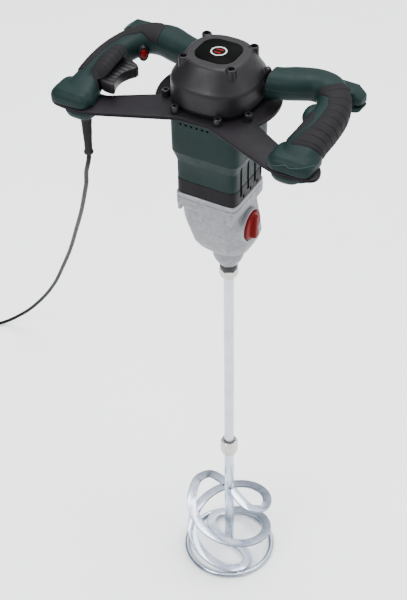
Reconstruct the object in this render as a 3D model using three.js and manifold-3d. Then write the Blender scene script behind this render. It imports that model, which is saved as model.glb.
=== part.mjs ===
// Two-handed paint and plaster mixer: an upright electric head with two handles, carried on a flat
// steel frame plate, drives a two-piece mixing rod that ends in a double-ribbon paddle.
// Units are millimetres. +Z is up along the mixing rod, +X is the user's right handle and -Y is the
// front. The origin is the centre of the mixing shaft's bottom end, on the floor.

import * as THREE from 'three';
import { mergeVertices } from 'three/addons/utils/BufferGeometryUtils.js';
import Module from 'manifold-3d';

const wasm = await Module();
wasm.setup();

// ---- driving dimensions ------------------------------------------------------------------------

const gap = 0.35;                    // clearance between pieces that touch
const motorY = -23;                  // the motor's axis lies this far in front of the spindle

const ringRadius = 66;               // bottom ring, to the middle of its round bar
const ringBar = 4;
const rodRadius = 7;
const nutFlats = 22;                 // across flats, both hexagons
const nutBottom = 213;
const nutTop = 238;
const adaptorBottom = 556;
const adaptorTop = 569;
const collarTop = 579;

const neckTop = 606;
const gearboxShoulder = 704;         // the casting widens here into its flange
const gearboxTop = 724;
const baffleTop = 745;
const housingStep = 772;
const plateBottom = 851;
const plateTop = 856;
const capWallTop = 898;
const capTop = 917;

const gearboxHalf = 46;
const lowerHousingHalf = 45.5;
const upperHousingHalf = 50;
const capHalf = 55;
const capExponent = 2.5;             // plan shape of the end cap, between a circle and a square
const boxExponent = 5;               // plan shape of the motor housing, a well rounded square
const wall = 3.2;

const boltCircle = 63.7;             // plate bolts, about the motor's axis
const boltAngles = [27, 61, 119, 153];
const capScrewX = 31.8;
const capScrewY = 28.6;

const cordRadius = 3;

// ---- materials ---------------------------------------------------------------------------------

const finish = (color, roughness, metalness = 0) =>
  new THREE.MeshStandardMaterial({ color, roughness, metalness });

const greenPlastic = finish(0x30504b, 0.5);
const blackPlastic = finish(0x343235, 0.55);
const darkSteel = finish(0x403d41, 0.5, 0.4);
const blackSteel = finish(0x1d1c1e, 0.4, 0.7);
const castAluminium = finish(0xb4b5b8, 0.45, 0.8);
const zincSteel = finish(0xc4cbd4, 0.25, 0.9);
const bareSteel = finish(0x9a9c9f, 0.35, 0.9);
const rubber = finish(0x363436, 0.85);
const redPlastic = finish(0xa8232b, 0.4);
const glossBlack = finish(0x1b1c1b, 0.15);
const copper = finish(0xa5653c, 0.4, 0.8);
const carbon = finish(0x2b2b2b, 0.8);
const cordRubber = finish(0x171717, 0.7);

// ---- small tools -------------------------------------------------------------------------------

const V = (x, y, z) => new THREE.Vector3(x, y, z);
const radians = THREE.MathUtils.degToRad;

// A geometry's own shape as one closed surface: shared corners merged, and faces pointing out.
function closed(geometry) {
  const bare = geometry.clone();
  bare.deleteAttribute('normal');
  bare.deleteAttribute('uv');
  const merged = mergeVertices(bare, 1e-4);
  const at = (i) => V().fromBufferAttribute(merged.attributes.position, i);
  const faces = [];
  let volume = 0;
  for (let i = 0; i < merged.index.count; i += 3) {
    const [a, b, c] = [0, 1, 2].map((k) => merged.index.getX(i + k));
    if (a !== b && b !== c && c !== a) {
      faces.push([a, b, c]);
      volume += at(a).dot(at(b).cross(at(c)));
    }
  }
  merged.setIndex((volume < 0 ? faces.map(([a, b, c]) => [a, c, b]) : faces).flat());
  return merged;
}

function solid(shape) {
  if (shape instanceof wasm.Manifold) return shape;
  const surface = closed(shape);
  return new wasm.Manifold(new wasm.Mesh({
    numProp: 3,
    vertProperties: Float32Array.from(surface.attributes.position.array),
    triVerts: Uint32Array.from(surface.index.array),
  }));
}

const join = (first, ...rest) => rest.reduce((all, next) => all.add(solid(next)), solid(first));
const cut = (first, ...rest) => rest.reduce((all, next) => all.subtract(solid(next)), solid(first));
const common = (first, ...rest) => rest.reduce((all, next) => all.intersect(solid(next)), solid(first));

function geometryOf(shape) {
  if (shape instanceof THREE.BufferGeometry) return closed(shape);
  const mesh = shape.getMesh();
  const geometry = new THREE.BufferGeometry();
  geometry.setAttribute('position', new THREE.BufferAttribute(mesh.vertProperties, 3));
  geometry.setIndex(new THREE.BufferAttribute(mesh.triVerts, 1));
  return geometry;
}

const mixer = new THREE.Group();

function add(name, shape, material, x = 0, y = 0, z = 0) {
  const mesh = new THREE.Mesh(geometryOf(shape), material);
  mesh.name = name;
  mesh.position.set(x, y, z);
  mixer.add(mesh);
  return mesh;
}

// ---- shape helpers -----------------------------------------------------------------------------

// A turned piece about +Z from [radius, height] pairs that start and end on the axis.
function turned(profile, segments = 14) {
  const points = profile.map(([radius, z]) => new THREE.Vector2(radius, z));
  return new THREE.LatheGeometry(points, segments).rotateX(Math.PI / 2);
}

// A turned ring about +Z: a closed rectangle between two radii and two heights.
const tubeRing = (inner, outer, low, high, segments = 14) =>
  turned([[inner, low], [outer, low], [outer, high], [inner, high], [inner, low]], segments);

const disc = (radius, low, high, segments = 12) =>
  turned([[0, low], [radius, low], [radius, high], [0, high]], segments);

// Turned like the above, then squared in plan: the radius follows a superellipse.
function squared(profile, exponent, segments = 24) {
  const geometry = turned(profile, segments);
  const position = geometry.attributes.position;
  for (let i = 0; i < position.count; i += 1) {
    const [x, y] = [position.getX(i), position.getY(i)];
    const angle = Math.atan2(y, x);
    const sum = Math.abs(Math.cos(angle)) ** exponent + Math.abs(Math.sin(angle)) ** exponent;
    const stretch = sum ** (-1 / exponent);
    position.setXY(i, x * stretch, y * stretch);
  }
  return geometry;
}

// A flat outline raised from one height to another.
const prism = (shape, low, high, segments = 4) =>
  new THREE.ExtrudeGeometry(shape, { depth: high - low, bevelEnabled: false, curveSegments: segments })
    .translate(0, 0, low);

const outline = (points) => new THREE.Shape(points.map(([x, y]) => new THREE.Vector2(x, y)));

function roundedRectangle(width, depth, radius) {
  const [a, b] = [width / 2, depth / 2];
  const shape = new THREE.Shape();
  shape.absarc(a - radius, b - radius, radius, 0, Math.PI / 2);
  shape.absarc(-a + radius, b - radius, radius, Math.PI / 2, Math.PI);
  shape.absarc(-a + radius, -b + radius, radius, Math.PI, 1.5 * Math.PI);
  shape.absarc(a - radius, -b + radius, radius, 1.5 * Math.PI, 2 * Math.PI);
  return shape;
}

const block = (x, y, z, low = V(0, 0, 0)) =>
  new THREE.BoxGeometry(x, y, z).translate(low.x, low.y, low.z);

function hexagon(flats) {
  const corner = flats / Math.sqrt(3);
  return outline([0, 1, 2, 3, 4, 5].map((k) => {
    const angle = radians(60 * k);
    return [corner * Math.cos(angle), corner * Math.sin(angle)];
  }));
}

// A bar swept along a curve. The bar starts as a straight geometry along +Y whose x and z lie
// between -1 and 1; x becomes the level sideways direction and z the one that is square to both.
// halfAt(t) gives the half width and half height, and the stretch from t0 to t1 is used.
function swept(bar, curve, halfAt, t0 = 0, t1 = 1) {
  const position = bar.attributes.position;
  for (let i = 0; i < position.count; i += 1) {
    const t = t0 + (position.getY(i) + 0.5) * (t1 - t0);
    const along = curve.getTangentAt(Math.min(Math.max(t, 0), 1));
    const side = V(along.y, -along.x, 0).normalize();
    const up = side.clone().cross(along);
    const [wide, high] = halfAt(t);
    const point = curve.getPointAt(Math.min(Math.max(t, 0), 1));
    point.addScaledVector(side, position.getX(i) * wide);
    point.addScaledVector(up, position.getZ(i) * high);
    position.setXYZ(i, point.x, point.y, point.z);
  }
  return bar;
}

// A straight bar of rounded section for swept().
function roundBar(steps, around = 10, exponent = 2.6) {
  const bar = new THREE.CylinderGeometry(1, 1, 1, around, steps);
  const position = bar.attributes.position;
  for (let i = 0; i < position.count; i += 1) {
    const [x, z] = [position.getX(i), position.getZ(i)];
    const angle = Math.atan2(z, x);
    const sum = Math.abs(Math.cos(angle)) ** exponent + Math.abs(Math.sin(angle)) ** exponent;
    const stretch = sum ** (-1 / exponent);
    position.setX(i, x * stretch);
    position.setZ(i, z * stretch);
  }
  return bar;
}

const flatBar = (steps) => new THREE.BoxGeometry(2, 1, 2, 1, steps, 1);

const smooth = (points) =>
  new THREE.CatmullRomCurve3(points.map(([x, y, z]) => V(x, y, z)), false, 'centripetal');

// A value that eases between [t, value] pairs.
function eased(pairs, t) {
  const next = pairs.findIndex(([at]) => t <= at);
  if (next === 0) return pairs[0][1];
  if (next < 0) return pairs[pairs.length - 1][1];
  const [[t0, a], [t1, b]] = [pairs[next - 1], pairs[next]];
  return a + (b - a) * THREE.MathUtils.smoothstep(t, t0, t1);
}

// A spur gear outline with plain tapered teeth; one tooth is centred on the direction phase.
function gearOutline(teeth, module, phase) {
  const pitch = teeth * module / 2;
  const step = 2 * Math.PI / teeth;
  const corners = [[pitch - 1.25 * module, 0.3], [pitch + 0.9 * module, 0.12]];
  const points = [];
  for (let k = 0; k < teeth; k += 1) {
    const middle = phase + k * step;
    const [root, tip] = corners;
    const places = [[root[0], -root[1]], [tip[0], -tip[1]], [tip[0], tip[1]], [root[0], root[1]]];
    for (const [radius, share] of places) {
      const angle = middle + share * step;
      points.push([radius * Math.cos(angle), radius * Math.sin(angle)]);
    }
  }
  return outline(points);
}

// ---- mixing paddle -----------------------------------------------------------------------------

const ringSection = [];
for (let k = 0; k <= 8; k += 1) {
  const angle = 2 * Math.PI * k / 8;
  ringSection.push([ringRadius + ringBar * Math.cos(angle), ringBar - ringBar * Math.sin(angle)]);
}
add('bottom_ring', turned(ringSection, 32), zincSteel);

const lowerShaftTop = 222;
add('lower_shaft', disc(rodRadius, 0, lowerShaftTop), zincSteel);
add('upper_rod', disc(rodRadius, lowerShaftTop + gap, adaptorTop - 1), zincSteel);

const nutChamfer = turned([
  [0, nutBottom], [10.6, nutBottom], [13, nutBottom + 4], [13, nutTop - 2], [11.4, nutTop], [0, nutTop],
]);
const nutRecess = disc(9.6, nutTop - 4, nutTop + 1);
const rodHole = disc(rodRadius + gap, 0, capTop);
const nutBody = common(prism(hexagon(nutFlats), nutBottom, nutTop), nutChamfer);
add('coupling_nut', cut(nutBody, nutRecess, rodHole), zincSteel);

// A ribbon is a flat bar: it leaves the shaft, bends into a coil that drops to the ring, rests on
// the ring and bends back in to the shaft's foot. The second ribbon is the same, half a turn round.
const ribbonWide = 7;
const ribbonThick = 1.75;
const ribbonRadius = 58;
const coilDrop = 124;                // per turn
const ribbonOnRing = 2 * ringBar + gap + ribbonThick;

function ribbonRoute(turn) {
  const polar = [[153, 7.9, 134], [154, 24, 131], [160, 46, 125], [176, 57, 118]];
  for (let angle = 200; angle < 470; angle += 20) {
    polar.push([angle, ribbonRadius, ribbonOnRing + coilDrop * (480 - angle) / 360]);
  }
  polar.push([482, ribbonRadius, ribbonOnRing], [500, 57, ribbonOnRing]);
  polar.push([516, 47, ribbonOnRing - 0.6], [528, 26, ribbonOnRing - 2], [532, 8.1, ribbonOnRing - 3]);
  return smooth(polar.map(([angle, radius, z]) => {
    const a = radians(angle + turn);
    return [radius * Math.cos(a), radius * Math.sin(a), z];
  }));
}
for (const [name, turn] of [['ribbon_a', 0], ['ribbon_b', 180]]) {
  add(name, swept(flatBar(44), ribbonRoute(turn), () => [ribbonWide, ribbonThick]), zincSteel);
}

// ---- spindle and its fittings ------------------------------------------------------------------

const adaptorBody = common(
  prism(hexagon(nutFlats), adaptorBottom, adaptorTop),
  turned([[0, adaptorBottom], [10.8, adaptorBottom], [13, adaptorBottom + 3], [13, adaptorTop], [0, adaptorTop]]),
);
add('hex_adaptor', cut(adaptorBody, rodHole), bareSteel);

const spindleRadius = 6;
const collarBottom = adaptorTop + gap;
add('spindle_collar', tubeRing(spindleRadius + gap, 12.2, collarBottom, collarTop), blackSteel);

const outputGearLow = 662;
const outputGearHigh = 678;
const inputGearLow = 690;
const inputGearHigh = 702;
const bearingPlateLow = 713;
add('spindle', turned([
  [0, adaptorTop], [spindleRadius, adaptorTop], [spindleRadius, 611], [9, 611], [9, 656], [7, 656],
  [7, outputGearHigh + 4], [4, outputGearHigh + 4], [4, gearboxTop - 2], [0, gearboxTop - 2],
]), bareSteel);

// ---- gear train: armature pinion, compound layshaft gear, output gear ----------------------------

const firstModule = 1;
const [pinionTeeth, wheelTeeth] = [7, 32];
const secondModule = 1.2;
const [layTeeth, outputTeeth] = [10, 26];
const firstReach = (pinionTeeth + wheelTeeth) * firstModule / 2;
const secondReach = (layTeeth + outputTeeth) * secondModule / 2;
const layY = (secondReach ** 2 - firstReach ** 2 + motorY ** 2) / (2 * motorY);
const layX = -Math.sqrt(secondReach ** 2 - layY ** 2);

// The two meshes put a tooth of one gear in a space of the other, along the line of centres.
const towardLay = Math.atan2(layY - motorY, layX);
const layTowardSpindle = Math.atan2(-layY, -layX);
const wheelPhase = towardLay + Math.PI + Math.PI / wheelTeeth;
const outputPhase = layTowardSpindle + Math.PI + Math.PI / outputTeeth;

const outputBlank = prism(gearOutline(outputTeeth, secondModule, outputPhase), outputGearLow, outputGearHigh);
add('output_gear', cut(outputBlank, disc(7 + gap, 0, capTop)), bareSteel);

const layshaft = join(
  prism(gearOutline(wheelTeeth, firstModule, wheelPhase), inputGearLow, inputGearHigh),
  prism(gearOutline(layTeeth, secondModule, layTowardSpindle), outputGearLow - 2, inputGearLow + 1),
  disc(4, outputGearLow - 8, gearboxTop - 3, 16),
);
add('layshaft_gear', layshaft, bareSteel, layX, layY);

const shaftTop = 876;
const armatureShaft = join(
  turned([[0, inputGearLow - 1], [2.1, inputGearLow - 1], [2.1, inputGearHigh + 3], [4, inputGearHigh + 3],
    [4, shaftTop], [0, shaftTop]], 16),
  prism(gearOutline(pinionTeeth, firstModule, towardLay), inputGearLow, inputGearHigh),
);
add('armature_shaft', armatureShaft, bareSteel, 0, motorY);

// ---- motor -------------------------------------------------------------------------------------

const coreLow = 762;
const coreHigh = 828;
const shaftHole = 4 + gap;
add('armature_core', tubeRing(shaftHole, 22, coreLow, coreHigh, 20), copper, 0, motorY);
add('commutator', tubeRing(shaftHole, 15, 836, 856), copper, 0, motorY);

const fanBlades = Array.from({ length: 8 }, (_, k) =>
  block(24, 1.8, 9, V(24, 0, 737)).rotateZ(radians(45 * k)));
add('cooling_fan', cut(join(disc(36, 730, 733, 16), disc(13, 730, 741), ...fanBlades),
  disc(shaftHole, 0, capTop)), blackPlastic, 0, motorY);

add('stator', tubeRing(23.5, 42, coreLow + 2, coreHigh - 2, 20), bareSteel, 0, motorY);

for (const [name, side] of [['brush_holder_left', -1], ['brush_holder_right', 1]]) {
  const holder = join(block(20, 12, 12, V(26 * side, 0, 846)), block(4, 7, 7, V(17.4 * side, 0, 846)));
  add(name, holder, carbon, 0, motorY);
}

const bearing = (bore, outer, low, high) => tubeRing(bore + gap, outer, low, high);
add('armature_bearing_top', bearing(4, 11, 866, 873), bareSteel, 0, motorY);
add('armature_bearing_bottom', bearing(4, 11, bearingPlateLow + 2, gearboxTop - 2), bareSteel, 0, motorY);

// ---- gearbox -----------------------------------------------------------------------------------

// The casting is a bowl that leans from the spindle's axis at its foot to the motor's axis under a
// square flange, joined to a round tower and neck. inset gives the same shape inside, for its hollow.
const sideways = (shape, length) =>
  new THREE.ExtrudeGeometry(shape, { depth: length, bevelEnabled: false }).translate(0, 0, -length / 2);

const spindleTower = 22;
function casting(inset) {
  const bowl = squared([
    [0, neckTop + inset], [19 - inset, neckTop + inset], [26 - inset, 621 + inset], [32 - inset, 635 + inset],
    [38 - inset, 655], [40 - inset, 675], [42 - inset, gearboxShoulder], [0, gearboxShoulder],
  ], 3);
  const position = bowl.attributes.position;
  for (let i = 0; i < position.count; i += 1) {
    const lean = eased([[neckTop, -motorY], [gearboxShoulder, 0]], position.getZ(i));
    position.setY(i, position.getY(i) + lean);
  }
  const flange = squared([
    [0, gearboxShoulder - 6], [42 - inset, gearboxShoulder - 6], [gearboxHalf - inset, gearboxShoulder],
    [gearboxHalf - inset, gearboxTop + inset], [0, gearboxTop + inset],
  ], boxExponent);
  const tower = disc(spindleTower - inset, neckTop + inset, gearboxShoulder - 2, 20);
  return join(join(bowl, flange).translate([0, motorY, 0]), tower);
}
const neck = turned([
  [0, collarTop + gap], [13, collarTop + gap], [15.5, 585], [19, 592], [21, 598], [spindleTower, neckTop + 2],
  [0, neckTop + 2],
], 20);
const knobZ = 674;
const knobFace = 43.4;
const knobBoss = disc(23, 30, knobFace, 20).rotateY(Math.PI / 2).translate(0, motorY, knobZ);
const knobHole = disc(10, 20, 60, 14).rotateY(Math.PI / 2).translate(0, motorY, knobZ);
const bearingSeat = turned([
  [0, 570], [8, 570], [8, 585], [11 + gap, 585], [11 + gap, 595], [16 + gap, 595], [16 + gap, 625], [0, 625],
]);
const gearboxHousing = cut(
  join(casting(0), neck, knobBoss), casting(3.6), bearingSeat, knobHole,
);
add('gearbox_housing', gearboxHousing, castAluminium);

const plateBlank = squared([[0, bearingPlateLow], [41.6, bearingPlateLow], [41.6, gearboxTop - 1],
  [0, gearboxTop - 1]], boxExponent).translate(0, motorY, 0);
const bearingPlate = cut(plateBlank,
  disc(11 + gap, bearingPlateLow + 2 - gap, gearboxTop, 20).translate(0, motorY, 0),
  disc(7, bearingPlateLow - 1, gearboxTop).translate(0, motorY, 0),
  disc(4 + gap, bearingPlateLow - 1, gearboxTop),
  disc(4 + gap, bearingPlateLow - 1, gearboxTop).translate(layX, layY, 0));
add('bearing_plate', bearingPlate, castAluminium);

add('spindle_bearing', bearing(spindleRadius, 16, 595 + gap, 606), bareSteel);
add('spindle_seal', bearing(spindleRadius, 11, 585 + gap, 592), rubber);

// The selector is a red disc with a raised grip and an eccentric pin that shifts the gears.
const knobLow = knobFace + gap;
const knobParts = join(
  disc(20, knobLow, 48.4, 20),
  disc(9.4, 37, knobLow + 1, 12),
  disc(2.5, 33, 38, 8).translate(5, 0, 0),
  prism(outline([[-17, -4], [16, -6.5], [19, 0], [16, 6.5], [-17, 4]]), 48, 54),
);
add('gear_selector', geometryOf(knobParts).rotateY(Math.PI / 2), redPlastic, 0, motorY, knobZ);

// ---- motor housing, baffle and end cap ----------------------------------------------------------

const boltPlaces = boltAngles.flatMap((angle) => [1, -1].map((side) => {
  const a = radians(angle);
  return [side * boltCircle * Math.sin(a), motorY - boltCircle * Math.cos(a)];
}));
const lipRadius = 68.5;
const lipLow = 844;

// An open shell between two heights, from [outer half width, height] pairs.
function shell(outer, thickness, exponent) {
  const inner = outer.map(([half, z]) => [half - thickness, z]).reverse();
  return squared([...outer, ...inner, outer[0]], exponent).translate(0, motorY, 0);
}

const baffle = shell([[lowerHousingHalf, gearboxTop + gap], [lowerHousingHalf, baffleTop]], wall, boxExponent);
const baffleHoles = [-21, -7, 7, 21].map((y) => block(20, 5, 6, V(45, motorY + y, 738)));
add('air_baffle', cut(baffle, ...baffleHoles), blackPlastic);

const housingShell = shell([
  [lowerHousingHalf, baffleTop + gap], [lowerHousingHalf, housingStep], [lowerHousingHalf + 3, housingStep + 15],
  [upperHousingHalf - 1, 835], [upperHousingHalf, plateBottom - gap],
], wall, boxExponent);
const lip = tubeRing(46.5, lipRadius, lipLow, plateBottom - gap, 28).translate(0, motorY, 0);
const lipHoles = boltPlaces.map(([x, y]) => disc(3 + gap, lipLow - 1, plateTop, 8).translate(x, y, 0));
const ventSlots = [-21, -7, 7, 21].flatMap((y) =>
  [1, -1].map((side) => block(20, 6, 22, V(45 * side, motorY + y, 757))));
const ventHoles = Array.from({ length: 6 }, (_, k) =>
  disc(1.5, 30, 60, 6).rotateX(Math.PI / 2).translate(-27 + 7.4 * k, motorY, 832));
add('motor_housing', cut(join(housingShell, lip), ...lipHoles, ...ventSlots, ...ventHoles), greenPlastic);

// The cap is a hollow shell with four screw towers and a boss inside for the top bearing.
const capBottom = plateTop + gap;
const capOuter = squared([
  [0, capBottom], [capHalf, capBottom], [capHalf - 1, capWallTop - 3], [capHalf - 4, capWallTop],
  [39, capTop - 3], [35, capTop], [0, capTop],
], capExponent).translate(0, motorY, 0);
const capInner = squared([
  [0, capBottom - 1], [capHalf - wall, capBottom - 1], [capHalf - wall - 1, capWallTop - 4],
  [38, capTop - 6], [34, capTop - 4], [0, capTop - 4],
], capExponent).translate(0, motorY, 0);
const screwPlaces = [[-1, -1], [1, -1], [-1, 1], [1, 1]].map(([x, y]) => [capScrewX * x, motorY + capScrewY * y]);
const towers = screwPlaces.map(([x, y]) => disc(5.6, capBottom, capTop - 1, 8).translate(x, y, 0));
const towerHoles = screwPlaces.map(([x, y]) =>
  join(disc(4.4, capTop - 8, capTop, 8), disc(2.6, capBottom - 1, capTop, 6)).translate([x, y, 0]));
const topBoss = cut(disc(14, 864, capTop - 2, 16), disc(11 + gap, 863, 874, 20), disc(6, 863, 882))
  .translate([0, motorY, 0]);
const badgeSeat = prism(roundedRectangle(52, 50, 17), capTop - 1.6, capTop + 1, 3).translate(0, motorY, 0);
const endCap = cut(join(cut(capOuter, capInner), ...towers, topBoss), ...towerHoles, badgeSeat);
add('end_cap', endCap, blackPlastic);
add('badge_plate', prism(roundedRectangle(51, 49, 16.5), capTop - 1.2, capTop - 0.2, 3).translate(0, motorY, 0),
  glossBlack);
screwPlaces.forEach(([x, y], k) => {
  const screw = join(disc(3.9, capTop - 7.6, capTop - 3.5, 8), disc(2.2, capBottom + 4, capTop - 7, 6));
  add(`cap_screw_${k + 1}`, screw, blackSteel, x, y);
});

// ---- frame plate -------------------------------------------------------------------------------

// A round flange about the motor with an arm to each front corner, from one steel sheet. The right
// half of its edge is given, and the left half mirrors it.
const flangeRadius = 77;
const platePath = new THREE.Shape();
platePath.moveTo(-2, -87.5);
platePath.lineTo(20, -87.5);
platePath.lineTo(112, -125.5);
platePath.quadraticCurveTo(126, -131, 140, -131);
platePath.lineTo(160, -129);
platePath.quadraticCurveTo(178, -126, 173, -112);
platePath.quadraticCurveTo(168, -96, 146, -91);
platePath.lineTo(118, -86);
const armJoin = Math.asin((-57 - motorY) / flangeRadius);
platePath.lineTo(flangeRadius * Math.cos(armJoin), -57);
platePath.absarc(0, motorY, flangeRadius, armJoin, Math.PI / 2 + 0.025, false);
platePath.lineTo(-2, -87.5);
const rightHalf = prism(platePath, plateBottom, plateTop, 5);
const leftHalf = geometryOf(solid(rightHalf.clone())).scale(-1, 1, 1);
const boltHoles = boltPlaces.map(([x, y]) => disc(3 + gap, plateBottom - 1, plateTop + 1, 8).translate(x, y, 0));
const footBolt = [138, -110];
const footHoles = [1, -1].map((side) =>
  disc(4, plateBottom - 1, plateTop + 1, 8).translate(side * footBolt[0], footBolt[1], 0));
const motorHole = disc(40, plateBottom - 1, plateTop + 1, 28).translate(0, motorY, 0);
add('frame_plate', cut(join(rightHalf, leftHalf), motorHole, ...boltHoles, ...footHoles), darkSteel);

const plateBolt = turned([
  [0, plateBottom - 4], [3, plateBottom - 4], [3, plateTop + gap], [5.2, plateTop + gap],
  [5.2, plateTop + 8.4], [4.4, plateTop + 9.2], [0, plateTop + 9.2],
], 8);
boltPlaces.forEach(([x, y], k) => add(`plate_bolt_${k + 1}`, plateBolt, blackSteel, x, y));

// ---- handles -----------------------------------------------------------------------------------

// Each handle rises from a foot on the plate's front corner, runs back as a grip, and bends round
// to an arm that ends against the end cap. side is +1 on the right and -1 on the left; the left
// grip is slimmer and its arm reaches further back, to leave room for the fingers on the trigger.
const rightRoute = smooth([
  [142, -124, 858], [145, -104, 863], [147, -80, 868], [149, -52, 872], [147, -22, 874], [140, -1, 877],
  [127, 11, 880], [110, 13, 882], [92, 8, 883], [74, 4, 883.5], [38, 1, 883.5],
]);
const leftRoute = smooth([
  [-142, -124, 858], [-144, -104, 862], [-145, -80, 867], [-145, -52, 871], [-142, -22, 873], [-134, -3, 876],
  [-121, 9, 880], [-107, 14, 882], [-91, 16, 883], [-75, 16, 883], [-38, 16, 883],
]);
const handleRoute = (side) => (side > 0 ? rightRoute : leftRoute);

const gripWide = [[0, 20], [0.2, 19.5], [0.4, 19.5], [0.6, 19.5], [0.7, 18], [1, 18]];
const gripHigh = [[0, 14], [0.15, 17.5], [0.4, 18], [1, 17.5]];
const gripHalf = (side, extra) => (t) => {
  const slim = side > 0 ? extra : extra - eased([[0, 0], [0.2, 3], [0.6, 3], [0.75, 0]], t);
  return [eased(gripWide, t) + slim, eased(gripHigh, t) + slim / 2 + extra / 2];
};

// The grip's own section rings are numbered from 0 at the foot to gripSteps at the arm's end.
const gripSteps = 16;
const gripBar = (side, extra, first = 0, last = gripSteps) => solid(swept(
  roundBar(last - first), handleRoute(side), gripHalf(side, extra), first / gripSteps, last / gripSteps));

// The foot is a low rounded block that the grip grows out of.
function footBlock(side) {
  const body = squared([[0, plateTop + gap], [25, plateTop + gap], [25, 865], [21, 873], [12, 879], [0, 881]], 3.4);
  const [middle, stretch] = side > 0 ? [142, 1.13] : [-144, 1.2];
  return solid(body.scale(stretch, 0.86, 1)).translate([middle, -108, 0]);
}
const footUnder = (side) => block(80, 80, 40, V(side * 141, -108, plateTop + gap - 20));

const skinThickness = 2.2;
const bumperLow = 862;
const bumperHigh = 884;
function bumper(side) {
  const plan = outline([[122, 14], [160, 8], [169, 13], [171, 24], [165, 30], [122, 31]].map(([x, y]) => [side * x, y]));
  const front = outline([[110, bumperLow], [168, bumperLow], [174, bumperLow + 5], [174, bumperLow + 13],
    [160, bumperHigh], [110, bumperHigh]].map(([x, z]) => [side * x, z]));
  const slot = block(30, 26, 3, V(side * 178, 18, bumperLow + 8));
  return cut(common(prism(plan, bumperLow - 5, bumperHigh + 5), sideways(front, 120).rotateX(Math.PI / 2)),
    gripBar(side, skinThickness + gap), slot);
}

const triggerZ = 870;
const buttonPlace = V(-113, -9, 873);
const buttonAxis = V(-Math.SQRT1_2, Math.SQRT1_2, 0);

// A cylinder lying along the lock button's travel; positive lengths go into the handle.
const alongButton = (radius, from, to) => disc(radius, from, to, 12)
  .applyQuaternion(new THREE.Quaternion().setFromUnitVectors(V(0, 0, 1), buttonAxis))
  .translate(buttonPlace.x, buttonPlace.y, buttonPlace.z);

const capClear = squared([[0, plateTop], [capHalf + gap, plateTop], [capHalf + gap, capTop], [0, capTop]],
  capExponent).translate(0, motorY, 0);
for (const [name, side] of [['left_handle', -1], ['right_handle', 1]]) {
  const outer = join(gripBar(side, 0), footBlock(side));
  const hollow = gripBar(side, -3.4, 1);
  const shellBody = cut(outer, footUnder(side), hollow, capClear,
    disc(4.3, plateTop - 2, 872, 14).translate(side * footBolt[0], footBolt[1], 0));
  const pockets = side > 0 ? [] : [
    block(34, 72, 17, V(-124, -63, triggerZ)),
    alongButton(7, -12, 14),
  ];
  add(name, cut(shellBody, ...pockets), greenPlastic);
}

// Rubber skins: a ribbed sleeve on the right grip, an outer strip and a finger pad on the left.
const skin = (side, first, last) => cut(gripBar(side, skinThickness, first, last), gripBar(side, gap));
add('right_grip_sleeve', skin(1, 3, 9), rubber);
const leftSkin = skin(-1, 3, 10);
const outerHalf = prism(outline([
  [-230, -160], [-146, -160], [-147, -100], [-149, -60], [-147, -30], [-137, -2], [-110, 16], [-90, 60], [-230, 60],
]), 800, 930);
add('left_grip_strip', common(leftSkin, outerHalf), rubber);
const padZone = prism(outline([[-148, -108], [-90, -108], [-90, -30], [-141, -30]]), 800, 930);
const triggerClear = block(60, 76, 19, V(-124, -63, triggerZ));
add('left_finger_pad', cut(common(leftSkin, padZone), triggerClear, block(90, 90, 30, V(-120, -70, 855))), rubber);

for (const [name, side] of [['left_bumper', -1], ['right_bumper', 1]]) {
  add(name, bumper(side), greenPlastic);
}

// Green caps close the underside of the front corners, and hold the bolts of the handle feet.
for (const [name, side] of [['left_front_cap', -1], ['right_front_cap', 1]]) {
  const top = plateBottom - gap;
  const dome = squared([[0, top - 14], [12, top - 13], [18, top - 9], [21, top], [0, top]], 2.6, 20)
    .translate(side * 138, -110, 0);
  add(name, cut(dome, disc(4.2, top - 10, top + 1, 14).translate(side * footBolt[0], footBolt[1], 0)), greenPlastic);
  const boltName = side < 0 ? 'left_foot_bolt' : 'right_foot_bolt';
  add(boltName, disc(3.6, top - 9, 868, 14), blackSteel, side * footBolt[0], footBolt[1]);
}

// The switch sits in the left grip behind the trigger.
add('switch_module', block(7, 30, 12, V(-149.5, -60, 869)), blackPlastic);

// ---- trigger and lock button ---------------------------------------------------------------------

// The trigger is a curved lever with a stop at each end; it turns about its rear end.
const lever = new THREE.Shape();
lever.moveTo(-122, -31);
lever.lineTo(-130, -33);
lever.lineTo(-132, -40);
lever.lineTo(-127, -88);
lever.lineTo(-113, -92);
lever.lineTo(-105, -90);
lever.quadraticCurveTo(-117, -66, -101, -47);
lever.lineTo(-104, -38);
add('trigger', prism(lever, triggerZ - 7.5, triggerZ + 7.5, 10), blackPlastic);

add('lock_button', alongButton(6.2, -3, 9), redPlastic);

// ---- cord, coil and plug ---------------------------------------------------------------------------

const reliefPlace = [-132, -115];
const reliefTop = plateBottom - 14.5;
const reliefEnd = 785;
add('strain_relief', turned([
  [0, reliefTop], [6.2, reliefTop], [5.6, 822], [4.6, 800], [4.4, reliefEnd + 5], [6, reliefEnd + 3],
  [6, reliefEnd], [0, reliefEnd],
], 16), rubber, ...reliefPlace);

const cordRoute = smooth([
  [-132, -115, reliefEnd - gap], [-133, -114.5, 776], [-137, -112, 764], [-147, -102, 743], [-161, -84, 709],
  [-176, -67, 679], [-219, -18, 598], [-272, 40, 505], [-330, 102, 403], [-391, 161, 300], [-450, 211, 201],
  [-508, 247, 115], [-560, 264, 50], [-602, 262, 12], [-618, 255, 4], [-633, 246, cordRadius],
  [-649, 236, cordRadius],
]);
const cordSection = new THREE.Shape().absarc(0, 0, cordRadius, 0, 2 * Math.PI);
add('cord', new THREE.ExtrudeGeometry(cordSection,
  { steps: 56, extrudePath: cordRoute, curveSegments: 4 }), cordRubber);

// Four turns wide and two high, wound clockwise seen from above.
const coilPlace = [-695, 261];
const coilMiddle = 36;
add('cord_coil', tubeRing(coilMiddle - 12, coilMiddle + 12, 0, 4 * cordRadius, 28), cordRubber, ...coilPlace);

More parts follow.
